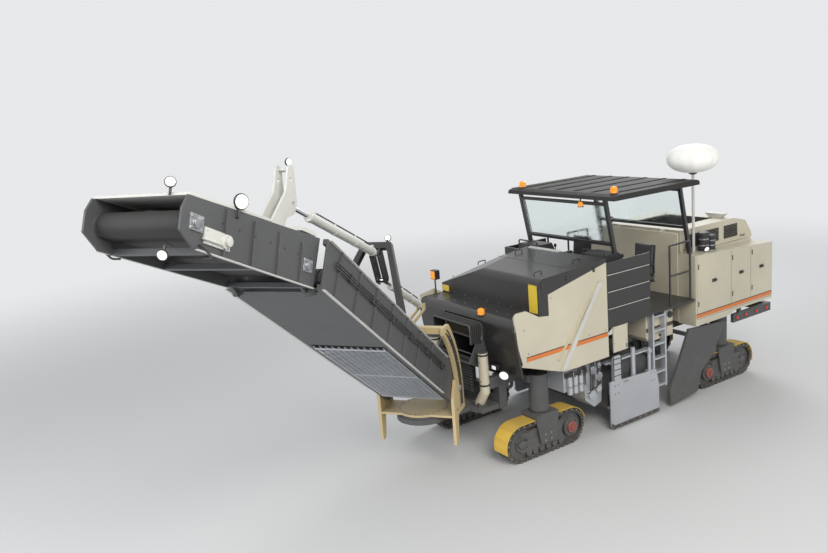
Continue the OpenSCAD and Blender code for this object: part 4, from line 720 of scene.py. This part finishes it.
def crawler_trim(name):
    """Chain links, shoe bolts and rubber pads of one crawler's track, and the trim of its frame."""
    place = crawler_place(name)
    body = "crawler_" + name
    wheel_r = CRAWLER_H / 2
    wheel_x = CRAWLER_L / 2 - wheel_r
    run, radius = 2 * wheel_x, wheel_r - LUG_H
    turn = math.pi * radius
    loop = 2 * run + 2 * turn

    def shoe_frame(d):
        """Matrix of a shoe at distance d: x along the chain, z towards its inside."""
        d %= loop
        if d < run:
            at, heading = (-wheel_x + d, wheel_r - radius), 0.0
        elif d < run + turn:
            heading = (d - run) / radius
            at = (wheel_x + radius * math.sin(heading), wheel_r - radius * math.cos(heading))
        elif d < 2 * run + turn:
            at, heading = (wheel_x - (d - run - turn), wheel_r + radius), math.pi
        else:
            heading = math.pi + (d - 2 * run - turn) / radius
            at = (-wheel_x + radius * math.sin(heading), wheel_r - radius * math.cos(heading))
        return Matrix.Translation((at[0], 0, at[1])) @ Matrix.Rotation(-heading, 4, "Y")

    links, pads, heads = pieces(3, place)
    pitch = loop / SHOE_N
    for i in range(SHOE_N):
        here = place @ shoe_frame((i + 0.5) * pitch)
        for piece in (links, pads, heads):
            piece.place = here
        half = pitch * 0.36
        for y in (-1, 1):
            y_low, y_high = sorted((y * 8, y * (SHOE_W / 2 - 4)))
            pads.box((-half + 3, y_low, -LUG_H + 0.5), (half - 3, y_high, 3))
            heads.lathe((0, y * (SHOE_W / 2 - 0.5), -2), (0, y, 0), [(12, 0), (12, 4), (8, 7)], 10)
            links.box((-pitch * 0.47, y * 62 - 14, CHAIN_T - 4), (pitch * 0.47, y * 62 + 14, CHAIN_T + 22))
            links.lathe((pitch / 2, y * 48, CHAIN_T + 9), (0, y, 0), [(11, 0), (11, 34)], 10)
    links.done("chain_links_" + name, "track", body)
    pads.done("shoe_pads_" + name, "pad", body, bevel=2)
    heads.done("shoe_bolts_" + name, "steel", body)

    side = SHOE_W / 2
    hub, plate = pieces(2, place)
    at = (-wheel_x, side + 50, wheel_r)
    hub.lathe(at, Y, [(96, -58), (96, 0), (88, 8), (52, 10), (52, 20), (20, 26)], 32)
    hub.done("drive_hub_" + name, "rust", body)
    plate.bolts([(x, side + 58, z) for x, z in circle(10, 72, (-wheel_x, wheel_r))], Y, 7, 7)
    for x in (-60, 60):
        for z in (wheel_r - 50, wheel_r + 50):
            plate.bolts([(x, side + 38, z)], Y, 13, 12)
            plate.bolts([(x, -side - 38, z)], (0, -1, 0), 13, 12)
    plate.done("frame_bolts_" + name, "steel", body)
    guard = Piece(place)
    outline = ((-330, -40), (60, -40), (90, 0), (60, 40), (-330, 40))
    guard.prism([(wheel_x + x, wheel_r + z) for x, z in outline], side - 12, side + 2)
    guard.lathe((wheel_x, side - 6, wheel_r), Y, [(62, 0), (62, 12), (38, 18), (20, 20)], 28)
    guard.done("tensioner_cover_" + name, "grey", body, bevel=2)


def conveyor_trim():
    """Stiffeners, pipes and roller ends along the two sections, and cleats on their belts."""
    ribs, pipes, ends, lip = pieces(4)
    for _ in both_sides(LOWER, ribs, pipes, ends, lip):
        face = CONV_W / 2
        for i in range(8):
            s = 780 + i * 520
            low, high = 4 - BOOT_R, CONV_TOP - 4
            ribs.prism([(s, low), (s + 12, low), (s + 12, high), (s, high)], face - 1, face + 26)
        lip.box((620, face - 1, -BOOT_R), (LOWER_L - 20, face + 34, -BOOT_R + 10))
        lip.box((620, face - 1, CONV_TOP - 10), (LOWER_L + 20, face + 34, CONV_TOP))
        for h in (60, 92, 124):
            pipes.tube([(700, face + 30, h), (LOWER_L - 180, face + 30, h)], 9, sides=8)
        for i in range(6):
            s = 640 + i * 660
            ends.lathe((s, face - 1, 110), Y, [(26, 0), (26, 8), (14, 10), (14, 18)], 16)
            pipes.box((s + 200, face, 44), (s + 230, face + 42, 140))
    ribs.done("lower_ribs", "grey", "conveyor_lower")
    lip.done("lower_chords", "pale", "conveyor_lower")
    pipes.done("lower_pipes", "black", "conveyor_lower")
    ends.done("lower_roller_ends", "steel", "conveyor_lower")

    ribs, ends, lip, plate = pieces(4)
    for side in both_sides(UPPER, ribs, ends, lip):
        face = HEAD_W / 2
        for s in (320, 760, 1200, 1640):
            ribs.box((s, face - 1, UPPER_LOW + 6), (s + 12, face + 24, UPPER_LOW + 430))
        lip.box((40, face - 1, UPPER_LOW), (UPPER_L - 220, face + 28, UPPER_LOW + 10))
        mid = UPPER_LOW + BELT_MID
        for s in (170, UPPER_L - 190):
            ends.box((s - 90, face - 1, UPPER_LOW + 150), (s + 90, face + 12, UPPER_LOW + 285))
            ends.lathe((s, face + 11, mid), Y, [(48, 0), (48, 18), (30, 26)], 24)
            ends.bolts([(s + dx, face + 12, mid + dz) for dx in (-66, 66) for dz in (-45, 45)], Y, 9, 9)
        plate.place = mirrored(UPPER, side)
        plate.box((1560, face - 1, UPPER_LOW + 75), (1925, face + 16, UPPER_LOW + 215))
        plate.lathe((1650, face + 15, UPPER_LOW + 145), Y, [(62, 0), (62, 22), (44, 28), (44, 62), (30, 68)], 24)
        plate.rod((1700, face + 30, UPPER_LOW + 110), (1960, face + 30, UPPER_LOW + 110), 12)
        plate.bolts([(x, face + 16, UPPER_LOW + z) for x in (1585, 1900) for z in (95, 195)], Y, 9, 9)
    plate.done("upper_drive_plates", "pale", "conveyor_upper", bevel=2)
    ribs.done("upper_ribs", "grey", "conveyor_upper")
    lip.done("upper_chords", "pale", "conveyor_upper")
    ends.done("upper_drum_bearings", "steel", "conveyor_upper")

    for name, body, place, first, last, middle in (
            ("lower_cleats", "conveyor_lower", LOWER, 60, LOWER_L - 300, BELT_MID - BOOT_R),
            ("upper_cleats", "conveyor_upper", UPPER, 200, UPPER_L - 220, UPPER_LOW + BELT_MID)):
        cleats = Piece(place)
        for _ in both_sides(place, cleats):
            count = int((last - first) / 230)
            for i in range(count + 1):
                s, z = first + (last - first) * i / count, middle + BELT_TURN_R
                top = z + 16
                cleats.add([(s, 0, z), (s + 26, 0, z), (s - 94, 330, z), (s - 120, 330, z),
                            (s + 5, 0, top), (s + 21, 0, top), (s - 99, 326, top), (s - 115, 326, top)],
                           [(0, 1, 2, 3), (4, 7, 6, 5), (0, 4, 5, 1), (1, 5, 6, 2), (2, 6, 7, 3), (3, 7, 4, 0)])
        cleats.done(name, "rubber", body)


def cylinder_trim():
    """Glands, ports and clipped pipes of the conveyor's two cylinders."""
    for name, length in (("lift", 1261), ("fold", 1951)):
        swing, stroke = JOINT[name + "_barrel_swing"], JOINT[name + "_rod_stroke"]
        way, left = Vector(stroke["axis"]).normalized(), -Vector(swing["axis"]).normalized()
        turn = Matrix((way, left, way.cross(left))).transposed().to_4x4()
        rings, pipe = (Piece(scaled(Matrix.Translation(swing["pos_m"]) @ turn)) for _ in range(2))
        rings.lathe((length - 70, 0, 0), X, [(56, 0), (63, 5), (63, 58), (58, 66), (34, 71)], 32)
        rings.lathe((112, 0, 0), X, [(56, 0), (60, 4), (60, 30), (56, 34)], 32)
        for x in (160, length - 130):
            rings.box((x - 24, -22, 48), (x + 24, 22, 84))
        for x in (length * 0.35, length * 0.65):
            rings.lathe((x, 0, 0), X, [(56, 0), (60, 1), (60, 25), (56, 26)], 32)
            rings.box((x, -16, 54), (x + 26, 16, 92))
        pipe.tube([(160, 0, 76), (200, 0, 84), (length - 170, 0, 84), (length - 130, 0, 76)], 10, bend=30)
        rings.done(name + "_cylinder_rings", "pale", name + "_barrel", bevel=1)
        pipe.done(name + "_cylinder_pipe", "black", name + "_barrel")


def arc_point(r, degrees):
    a = math.radians(degrees)
    return ARC_AT[0] + r * math.cos(a), ARC_AT[1] + r * math.sin(a)


def slew_trim():
    """Bolts of the turntable, pipes along the curved arms and the caps of their pins."""
    bolts, pipes, caps = pieces(3, HEAD)
    bolts.bolts([(x, y, 951) for x, y in circle(24, 372)], Z, 11, 11)
    for _ in both_sides(HEAD, bolts, pipes, caps):
        for k, r in enumerate((ARC_R - 32, ARC_R, ARC_R + 32)):
            arc = [arc_point(r, 186 - 5 * i) for i in range(11 - k % 2)]
            path = [(x, CHEEK_Y + 13, z) for x, z in arc]
            for at, (x, z) in ((0, arc[0]), (len(path) + 1, arc[-1])):
                path.insert(at, (x, CHEEK_Y - 5, z))
            pipes.tube(path, 9, sides=8, bend=12)
        for x, z in (arc_point(ARC_R, a) for a in (178, 160, 142)):
            caps.lathe((x, CHEEK_Y - 1, z), Y, [(50, 0), (50, 6), (30, 8), (14, 10), (14, 26)], 8)
        caps.lathe((0, CHEEK_Y, 1300), Y, [(78, 0), (78, 8), (60, 14), (46, 26), (20, 32)], 28)
        bolts.bolts([(x, CHEEK_Y + 7, z) for x, z in circle(6, 60, (0, 1300))], Y, 7, 8)
        bolts.bolts([(x, CHEEK_Y, z) for x, z in ((-130, 1010), (60, 1010), (200, 1010), (-120, 1400))], Y, 13, 12)
    bolts.done("slew_bolts", "steel", "slew_head")
    pipes.done("slew_pipes", "black", "slew_head")
    caps.done("slew_caps", "steel", "slew_head")


def guard_mesh():
    """Cross wires that turn the underside's bars into a grid."""
    wires = Piece(LOWER)
    low = -BOOT_R - 24
    for i in range(44):
        s = 290 + i * 56
        wires.box((s, -CONV_W / 2 + 80, low + 2), (s + 6, CONV_W / 2 - 80, low + 11))
    wires.done("guard_wires", "bright", "conveyor_lower")


def lamp(name, at, aim, size, place=MACHINE, body="chassis"):
    """A round work lamp: ribbed housing, rim and lens."""
    shell, lens = pieces(2, place)
    r = 62 * size
    shell.lathe(at, [-c for c in aim], [(r, -18 * size), (r + 5, -10 * size), (r + 5, 0), (r * 0.8, 30 * size),
                                        (r * 0.45, 52 * size), (r * 0.3, 56 * size)], 28)
    lens.lathe(at, aim, [(r * 0.92, 10), (r * 0.92, 19 * size), (r * 0.6, 24 * size), (r * 0.2, 26 * size)], 28)
    shell.done(name + "_housing", "plastic", body)
    lens.done(name + "_lens", "lamp", body)


def beacon(name, at, size=1.0):
    """A turning beacon: ribbed amber dome on a dark base."""
    dome, base = pieces(2)
    ridged = [(58 - 3 * (i % 2), 14 + i * 8) for i in range(9)] + [(50, 92), (34, 108), (12, 114)]
    dome.lathe(at, Z, [(r * size, h * size) for r, h in ridged], 32)
    base.lathe(at, Z, [(66 * size, 0), (66 * size, 10 * size), (60 * size, 15 * size)], 32)
    base.done(name + "_base", "plastic")
    return dome.done(name + "_dome", "amber")


def lamps():
    """Work lamps and beacons, each on its bracket."""
    feet = Piece()
    for side, word in SIDES:
        lamp("nose_lamp_" + word, (2950, side * 950, 1460), (1, side * 0.6, -0.3), 1.25)
        feet.box((2852, side * 940 - 22, 1455), (2905, side * 940 + 22, 1501))
        lamp("rear_lamp_" + word, (REAR_X - 18, side * 760, 1210), (-1, 0, -0.2), 0.8)
        lamp("side_lamp_" + word, (-1640, side * 1130, 2640), (0.3, side, -0.4), 0.8)
        feet.box((-1660, side * 1130 - 20, 2555), (-1620, side * 1130 + 20, 2600))
    feet.rod((760, 500, 3788), (760, 500, ROOF_Z - ROOF_T + 42), 13)
    feet.done("lamp_feet", "black")
    feet = Piece(LOWER)
    feet.box((2405, 138, 1330), (2435, 162, 1372))
    for _ in both_sides(LOWER, feet):
        feet.box((2310, 478, CONV_TOP - 1), (2490, CONV_W / 2 - 2, CONV_TOP + 12))
        feet.bolts([(x, 520, CONV_TOP + 12) for x in (2330, 2470)], Z, 12, 12)
    feet.done("tower_feet", "black", "conveyor_lower", bevel=2)
    feet, face, end = Piece(UPPER), HEAD_W / 2, UPPER_L
    feet.tube([(1490, 488, 440), (1490, 510, 440), (1490, 510, 540)], 12)
    feet.tube([(end - 70, 300, 470), (end - 70, 300, 535)], 12)
    feet.tube([(end - 120, 330, 60), (end - 40, 330, 60), (end - 40, 330, 0)], 12)
    for _ in both_sides(UPPER, feet):
        feet.tube([(end - 260, face - 2, 90), (end - 260, face + 30, 90), (end - 420, face + 30, 20),
                   (end - 420, face - 60, 20)], 10, bend=30)
        feet.bolts([(120 + 260 * i, face, UPPER_LOW + 300) for i in range(7)], Y, 9, 8)
    feet.done("upper_brackets", "black", "conveyor_upper", bevel=2)
    beacon("nose_beacon", (2903, 415, 2302))
    beacon("roof_front_light", (760, 500, 3700), 0.8)
    for side, word in SIDES:
        made = beacon("roof_beacon_" + word, (ROOF_FRONT_X - 200, side * 1100, ROOF_Z), 1.04)
        if side == 1:
            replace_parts(made, "beacons")
    square_lamps()
    lamp("tower_lamp", (2420, 150, 1400), (1, 0.1, -0.2), 0.7, LOWER, "conveyor_lower")
    for name, at, aim, size in (
            ("arm_lamp", (-30, 40, 1440), (0.3, 1, 0), 0.7),
            ("belt_lamp", (1490, face + 30, 582), (0.5, 1, -0.2), 1.1),
            ("head_lamp", (end - 60, 300, 572), (0.8, 0.6, 0.1), 0.7),
            ("head_low_lamp", (end - 30, 330, -30), (1, 0.3, -0.6), 0.7)):
        lamp(name, at, aim, size, UPPER, "conveyor_upper")


def square_lamps():
    """Lamps on the nose and under the roof's rear edge: finned housing, rim and lens."""
    shells, lenses = pieces(2)
    back = ROOF_REAR_X
    for _ in both_sides(MACHINE, shells, lenses):
        shells.box((2884, 656, 1486), (2950, 754, 1554))
        shells.box((2860, 684, 1500), (2886, 726, 1540))
        for k in range(6):
            shells.box((2890 + 10 * k, 651, 1481), (2894 + 10 * k, 759, 1559))
        lenses.box((2949, 662, 1492), (2958, 748, 1548))
        shells.box((back - 34, 706, ROOF_Z - 78), (back - 6, 814, ROOF_Z - 37))
        shells.box((back - 8, 730, ROOF_Z - 72), (back + 2, 790, ROOF_Z - 44))
        for k in range(3):
            shells.box((back - 30 + 9 * k, 701, ROOF_Z - 80), (back - 26 + 9 * k, 819, ROOF_Z - 36))
        lenses.box((back - 39, 712, ROOF_Z - 74), (back - 33, 808, ROOF_Z - 41))
    shells.done("square_lamp_housings", "plastic", bevel=3)
    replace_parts(lenses.done("square_lamp_lenses", "lamp", bevel=3), "work_lamps")


def air_cleaner_trim():
    """Clamps, ribs and rain caps of the air cleaners and the exhaust on the lockers."""
    bands, caps = pieces(2)
    for x, y, r, h in ((-1720, 1010, 90, 330), (-1930, 1010, 75, 260), (-1500, -1000, 60, 480)):
        low = locker_top(x + r)
        bands.lathe((x, y, low), Z, [(r + 22, 0), (r + 22, 8), (r + 2, 12)], 32)
        for z in (0.28, 0.62):
            bands.lathe((x, y, low + h * z), Z, [(r, 0), (r + 5, 2), (r + 5, 22), (r, 24)], 32)
            bands.box((x + r - 4, y - 10, low + h * z + 2), (x + r + 16, y + 10, low + h * z + 22))
        hat = [(r, 0), (r + 9, 6), (r + 9, 34), (r + 3, 46), (r * 0.5, 58), (r * 0.2, 60)]
        caps.lathe((x, y, low + h - 40), Z, hat, 36)
        bands.bolts([(bx, by, low + 7) for bx, by in circle(6, r + 12, (x, y))], Z, 5, 5)
    bands.done("air_cleaner_bands", "steel")
    caps.done("air_cleaner_caps", "plastic")


def balloon():
    """The lamp's inflated cloth, drawn in along its seams."""
    low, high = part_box("balloon_light")
    centre, half = (low + high) / 2, (high - low) / 2
    rings, sides = 26, 72
    points, faces = [], []
    for i in range(rings + 1):
        polar = math.pi * i / rings
        out, up = max(0.0, math.sin(polar)) ** 0.86, math.cos(polar)
        for k in range(sides):
            a = 2 * math.pi * k / sides
            pull = 0.995 - 0.022 * abs(math.cos(a * 6)) ** 12
            wide = out * pull
            points.append((centre.x + half.x * wide * math.cos(a), centre.y + half.y * wide * math.sin(a),
                           centre.z + half.z * 0.995 * up))
    for i in range(rings):
        for k in range(sides):
            j = (k + 1) % sides
            faces.append((i * sides + k, (i + 1) * sides + k, (i + 1) * sides + j, i * sides + j))
    skin = Piece(Matrix.Identity(4))
    skin.add(points, faces)
    bmesh.ops.remove_doubles(skin.mesh, verts=skin.mesh.verts, dist=0.0005)
    made = skin.done("balloon_cloth", "balloon")
    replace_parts(made, "balloon_light")
    cap = Piece(Matrix.Identity(4))
    cap.lathe((centre.x, centre.y, low.z - 0.03), Z, [(0.05, 0), (0.07, 0.012), (0.07, 0.05), (0.04, 0.055)], 24)
    cap.done("balloon_base", "plastic")


def cushion(place, low, high, crown, name, body, seams=3):
    """A crowned pad whose sides pull in between its corners, with sewn channels across it."""
    across = 28
    size = [b - a for a, b in zip(low, high)]
    points, faces = [], []
    for face in (1, -1):
        for i in range(across + 1):
            for j in range(across + 1):
                u, v = 2 * i / across - 1, 2 * j / across - 1
                swell = (1 - u ** 4) * (1 - v ** 4)
                near_seam = min(abs((u + 1) / 2 * seams - k) for k in range(1, seams))
                rise = size[2] / 2 * (0.45 + 0.55 * swell ** 0.5)
                rise += (crown - 9 * math.exp(-(near_seam * 9) ** 2)) * swell if face > 0 else 0
                points.append((low[0] + size[0] / 2 * (1 + u * (1 - 0.05 * (1 - v * v) * abs(u) ** 6)),
                               low[1] + size[1] / 2 * (1 + v * (1 - 0.05 * (1 - u * u) * abs(v) ** 6)),
                               low[2] + size[2] / 2 + face * rise))
    row = across + 1
    base = row * row
    for i in range(across):
        for j in range(across):
            a = i * row + j
            faces.append((a, a + row, a + row + 1, a + 1))
            faces.append((base + a, base + a + 1, base + a + row + 1, base + a + row))
    rim = [i * row for i in range(row)] + [across * row + j for j in range(1, row)]
    rim += [i * row + across for i in range(across - 1, -1, -1)] + list(range(across - 1, 0, -1))
    faces += [(a, b, base + b, base + a) for a, b in zip(rim, rim[1:] + rim[:1])]
    pad = Piece(place)
    pad.add(points, faces)
    made = pad.done(name, "seat", body)
    smooth = made.modifiers.new("smooth", "SUBSURF")
    smooth.levels = smooth.render_levels = 1
    return made


def seats():
    """Two operator's seats: post, pan, cushion, backrest and armrests."""
    metal = Piece()
    for side, word in SIDES:
        metal.place = mirrored(MACHINE, side)
        post = [(110, 0), (110, 12), (60, 20), (56, 250), (78, 256), (78, 410), (60, 415)]
        metal.lathe((-250, 750, DECK_Z), Z, post, 28)
        metal.box((-470, 535, DECK_Z + 410), (-40, 965, DECK_Z + 432))
        metal.prism([(-478, 2270), (-452, 2270), (-515, 2880), (-538, 2880)], 560, 940)
        for y in (528, 954):
            metal.tube([(-470, y, 2400), (-470, y, 2560), (-170, y, 2575)], 13, bend=50)
        rest = mirrored(MACHINE, side)
        cushion(rest, (-450, 545, DECK_Z + 433), (-30, 955, DECK_Z + 528), 14, "seat_cushion_" + word, "chassis")
        lean = Matrix.Translation((-443, 750, 2640)) @ Matrix.Rotation(math.radians(84), 4, "Y")
        made = cushion(rest @ lean, (-262, -195, -42), (262, 195, 42), 12, "seat_back_" + word, "chassis", 4)
        if side == 1:
            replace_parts(made, "seats")
        arm = Piece(rest)
        for y in (505, 931):
            arm.box((-400, y, 2575), (-160, y + 64, 2605))
        arm.done("seat_arms_" + word, "plastic", bevel=10)
    metal.done("seat_frames", "black")


def controls():
    """Desks of the two consoles: keys, levers, dials and a blank screen each, and a grab rail."""
    desk, keys, screens, rails = pieces(4)
    tilt = Matrix.Translation((452, 800, 2882)) @ Matrix.Rotation(math.radians(-63), 4, "Y")
    for _ in both_sides(MACHINE, rails):
        for piece in (desk, keys, screens):
            piece.place = rails.place @ tilt
        desk.box((-66, -240, 0), (66, 240, 9))
        for i in range(2):
            for j in range(6):
                keys.lathe((-22 + 44 * i, -205 + 38 * j, 9), Z, [(13, 0), (13, 7), (10, 11)], 12)
        screens.box((-48, 60, 9), (48, 210, 15))
        for y in (620, 980):
            rails.tube([(450, y, 2700), (330, y, 2760), (330, y, 2830)], 9, bend=40)
            rails.lathe((330, y, 2830), Z, [(12, 0), (24, 10), (26, 40), (16, 62)], 18)
        rails.tube([(820, 560, 2925), (820, 560, 3010), (820, 1040, 3010), (820, 1040, 2925)], 13, bend=60)
    desk.done("console_desks", "grey", bevel=4)
    keys.done("console_keys", "plastic")
    screens.done("console_screens", "dark_screen", bevel=3)
    rails.done("console_levers", "black")


def roof_trim():
    """Ribs on the roof, two lights under it, and the rubber seals round the leaning panes."""
    panes, levels, lean = ((525, DESK_Z), (-1350, LOCKER_TOP_Z)), (3112, 3738), 0.2
    ribs, frames, lights = pieces(3)
    top = ROOF_Z
    for i in range(6):
        y = -1050 + i * 420
        ribs.prism([(-1190, top - 1), (-1170, top + 13), (610, top + 13), (640, top - 1)], y - 30, y + 30)
    ribs.done("roof_ribs", "matte", bevel=3)
    for _ in both_sides(MACHINE, frames, lights):
        for foot, low in panes:
            x = [foot + (z - low) * lean - 4 for z in (3100, 3740)]
            frames.tube([(x[0], 975, levels[0]), (x[1], 975, levels[1])], 7, sides=8)
        for z in levels:
            for foot, low in panes:
                x = foot + (z - low) * lean - 4
                frames.tube([(x, 0, z), (x, 975, z)], 7, sides=8)
        lights.box((-300, 500, ROOF_Z - 64), (-60, 620, ROOF_Z - 48))
    frames.done("window_seals", "rubber")
    lights.done("roof_lights", "lamp", bevel=5)


def set_camera():
    """The photograph's viewpoint, found from the body's edges; its image is 828 by 553."""
    yaw, pitch, roll = -2.138, -0.218, -0.087
    ahead = Vector((math.cos(pitch) * math.cos(yaw), math.cos(pitch) * math.sin(yaw), math.sin(pitch)))
    right = ahead.cross(Vector(Z)).normalized()
    up = right.cross(ahead)
    turned_right = right * math.cos(roll) + up * math.sin(roll)
    turned_up = up * math.cos(roll) - right * math.sin(roll)
    data = bpy.data.cameras.new("camera")
    data.sensor_width = 36
    data.lens = 805.962 / 828 * 36
    data.clip_end = 200
    camera = bpy.data.objects.new("camera", data)
    columns = Matrix((turned_right, turned_up, -ahead)).transposed()
    camera.matrix_world = Matrix.Translation(Vector((10.256, 10.11, 5.696)) + SHIFT) @ columns.to_4x4()
    bpy.context.scene.collection.objects.link(camera)
    bpy.context.scene.camera = camera


def seen_rays(tree):
    """One for the rays of the eye, metal and glass, and zero for those that light the object."""
    path = tree.nodes.new("ShaderNodeLightPath")
    seen = path.outputs["Is Camera Ray"]
    for ray in ("Is Glossy Ray", "Is Transmission Ray"):
        both = tree.nodes.new("ShaderNodeMath")
        both.operation = "MAXIMUM"
        tree.links.new(seen, both.inputs[0])
        tree.links.new(path.outputs[ray], both.inputs[1])
        seen = both.outputs[0]
    return seen


def set_stage():
    """A pale floor and soft studio light."""
    data = bpy.data.meshes.new("floor")
    half = 60
    data.from_pydata([(-half, -half, 0), (half, -half, 0), (half, half, 0), (-half, half, 0)], [], [(0, 1, 2, 3)])
    floor = bpy.data.objects.new("floor", data)
    bpy.context.scene.collection.objects.link(floor)
    s = Shader("floor")
    s.feed(s.surface.inputs["Base Color"], s.mix(s.noise(40.0, 6.0), (0.60, 0.60, 0.59, 1), (0.66, 0.66, 0.65, 1)))
    s.fix(roughness=0.9)
    away = s.node("VectorMath", {0: s.coords}, operation="LENGTH").outputs["Value"]
    faded = s.node("MapRange", {"Value": away, "From Min": 8.0, "From Max": 24.0}, interpolation_type="SMOOTHSTEP")
    share = s.maths("MULTIPLY", seen_rays(s.tree), faded.outputs["Result"])
    far = s.node("Emission", {"Color": BACKGROUND, "Strength": 1.0}).outputs[0]
    mixed = s.node("MixShader", {0: share, 1: s.surface.outputs[0], 2: far}).outputs[0]
    s.feed(s.tree.nodes["Material Output"].inputs["Surface"], mixed)
    data.materials.append(s.material)

    world = bpy.data.worlds.new("world")
    world.use_nodes = True
    bpy.context.scene.world = world
    tree = world.node_tree
    lighting = tree.nodes["Background"]
    lighting.inputs["Color"].default_value = (0.90, 0.94, 1.0, 1)
    lighting.inputs["Strength"].default_value = 0.55
    shown = tree.nodes.new("ShaderNodeBackground")
    shown.inputs["Color"].default_value = BACKGROUND
    shown.inputs["Strength"].default_value = 1.0
    mix = tree.nodes.new("ShaderNodeMixShader")
    for made, socket in zip((seen_rays(tree), lighting.outputs[0], shown.outputs[0]), mix.inputs):
        tree.links.new(made, socket)
    tree.links.new(mix.outputs[0], tree.nodes["World Output"].inputs["Surface"])

    for name, at, size, power, colour in (
            ("key", (7, 13, 11), 7, 1500, (1.0, 0.97, 0.92)),
            ("fill", (15, 0, 6), 7, 500, (0.93, 0.96, 1.0)),
            ("rim", (-9, -6, 10), 6, 700, (1.0, 1.0, 1.0))):
        light = bpy.data.lights.new(name, "AREA")
        light.energy, light.size, light.color = power, size, colour
        holder = bpy.data.objects.new(name, light)
        holder.location = Vector(at) + SHIFT
        aim = Vector((1.5, 1.0, 1.2)) + SHIFT - holder.location
        holder.rotation_mode = "QUATERNION"
        holder.rotation_quaternion = aim.to_track_quat("-Z", "Y")
        bpy.context.scene.collection.objects.link(holder)
    bpy.context.scene.view_settings.view_transform = "Standard"


set_camera()
set_stage()
for make in (stripes, side_trim, bellows, hood_trim, unit_trim, rear_trim, air_cleaner_trim, plate_trim):
    make()
for corner in CORNERS:
    crawler_trim(corner)
for make in (conveyor_trim, cylinder_trim, slew_trim, guard_mesh, lamps, balloon, seats, controls, roof_trim):
    make()
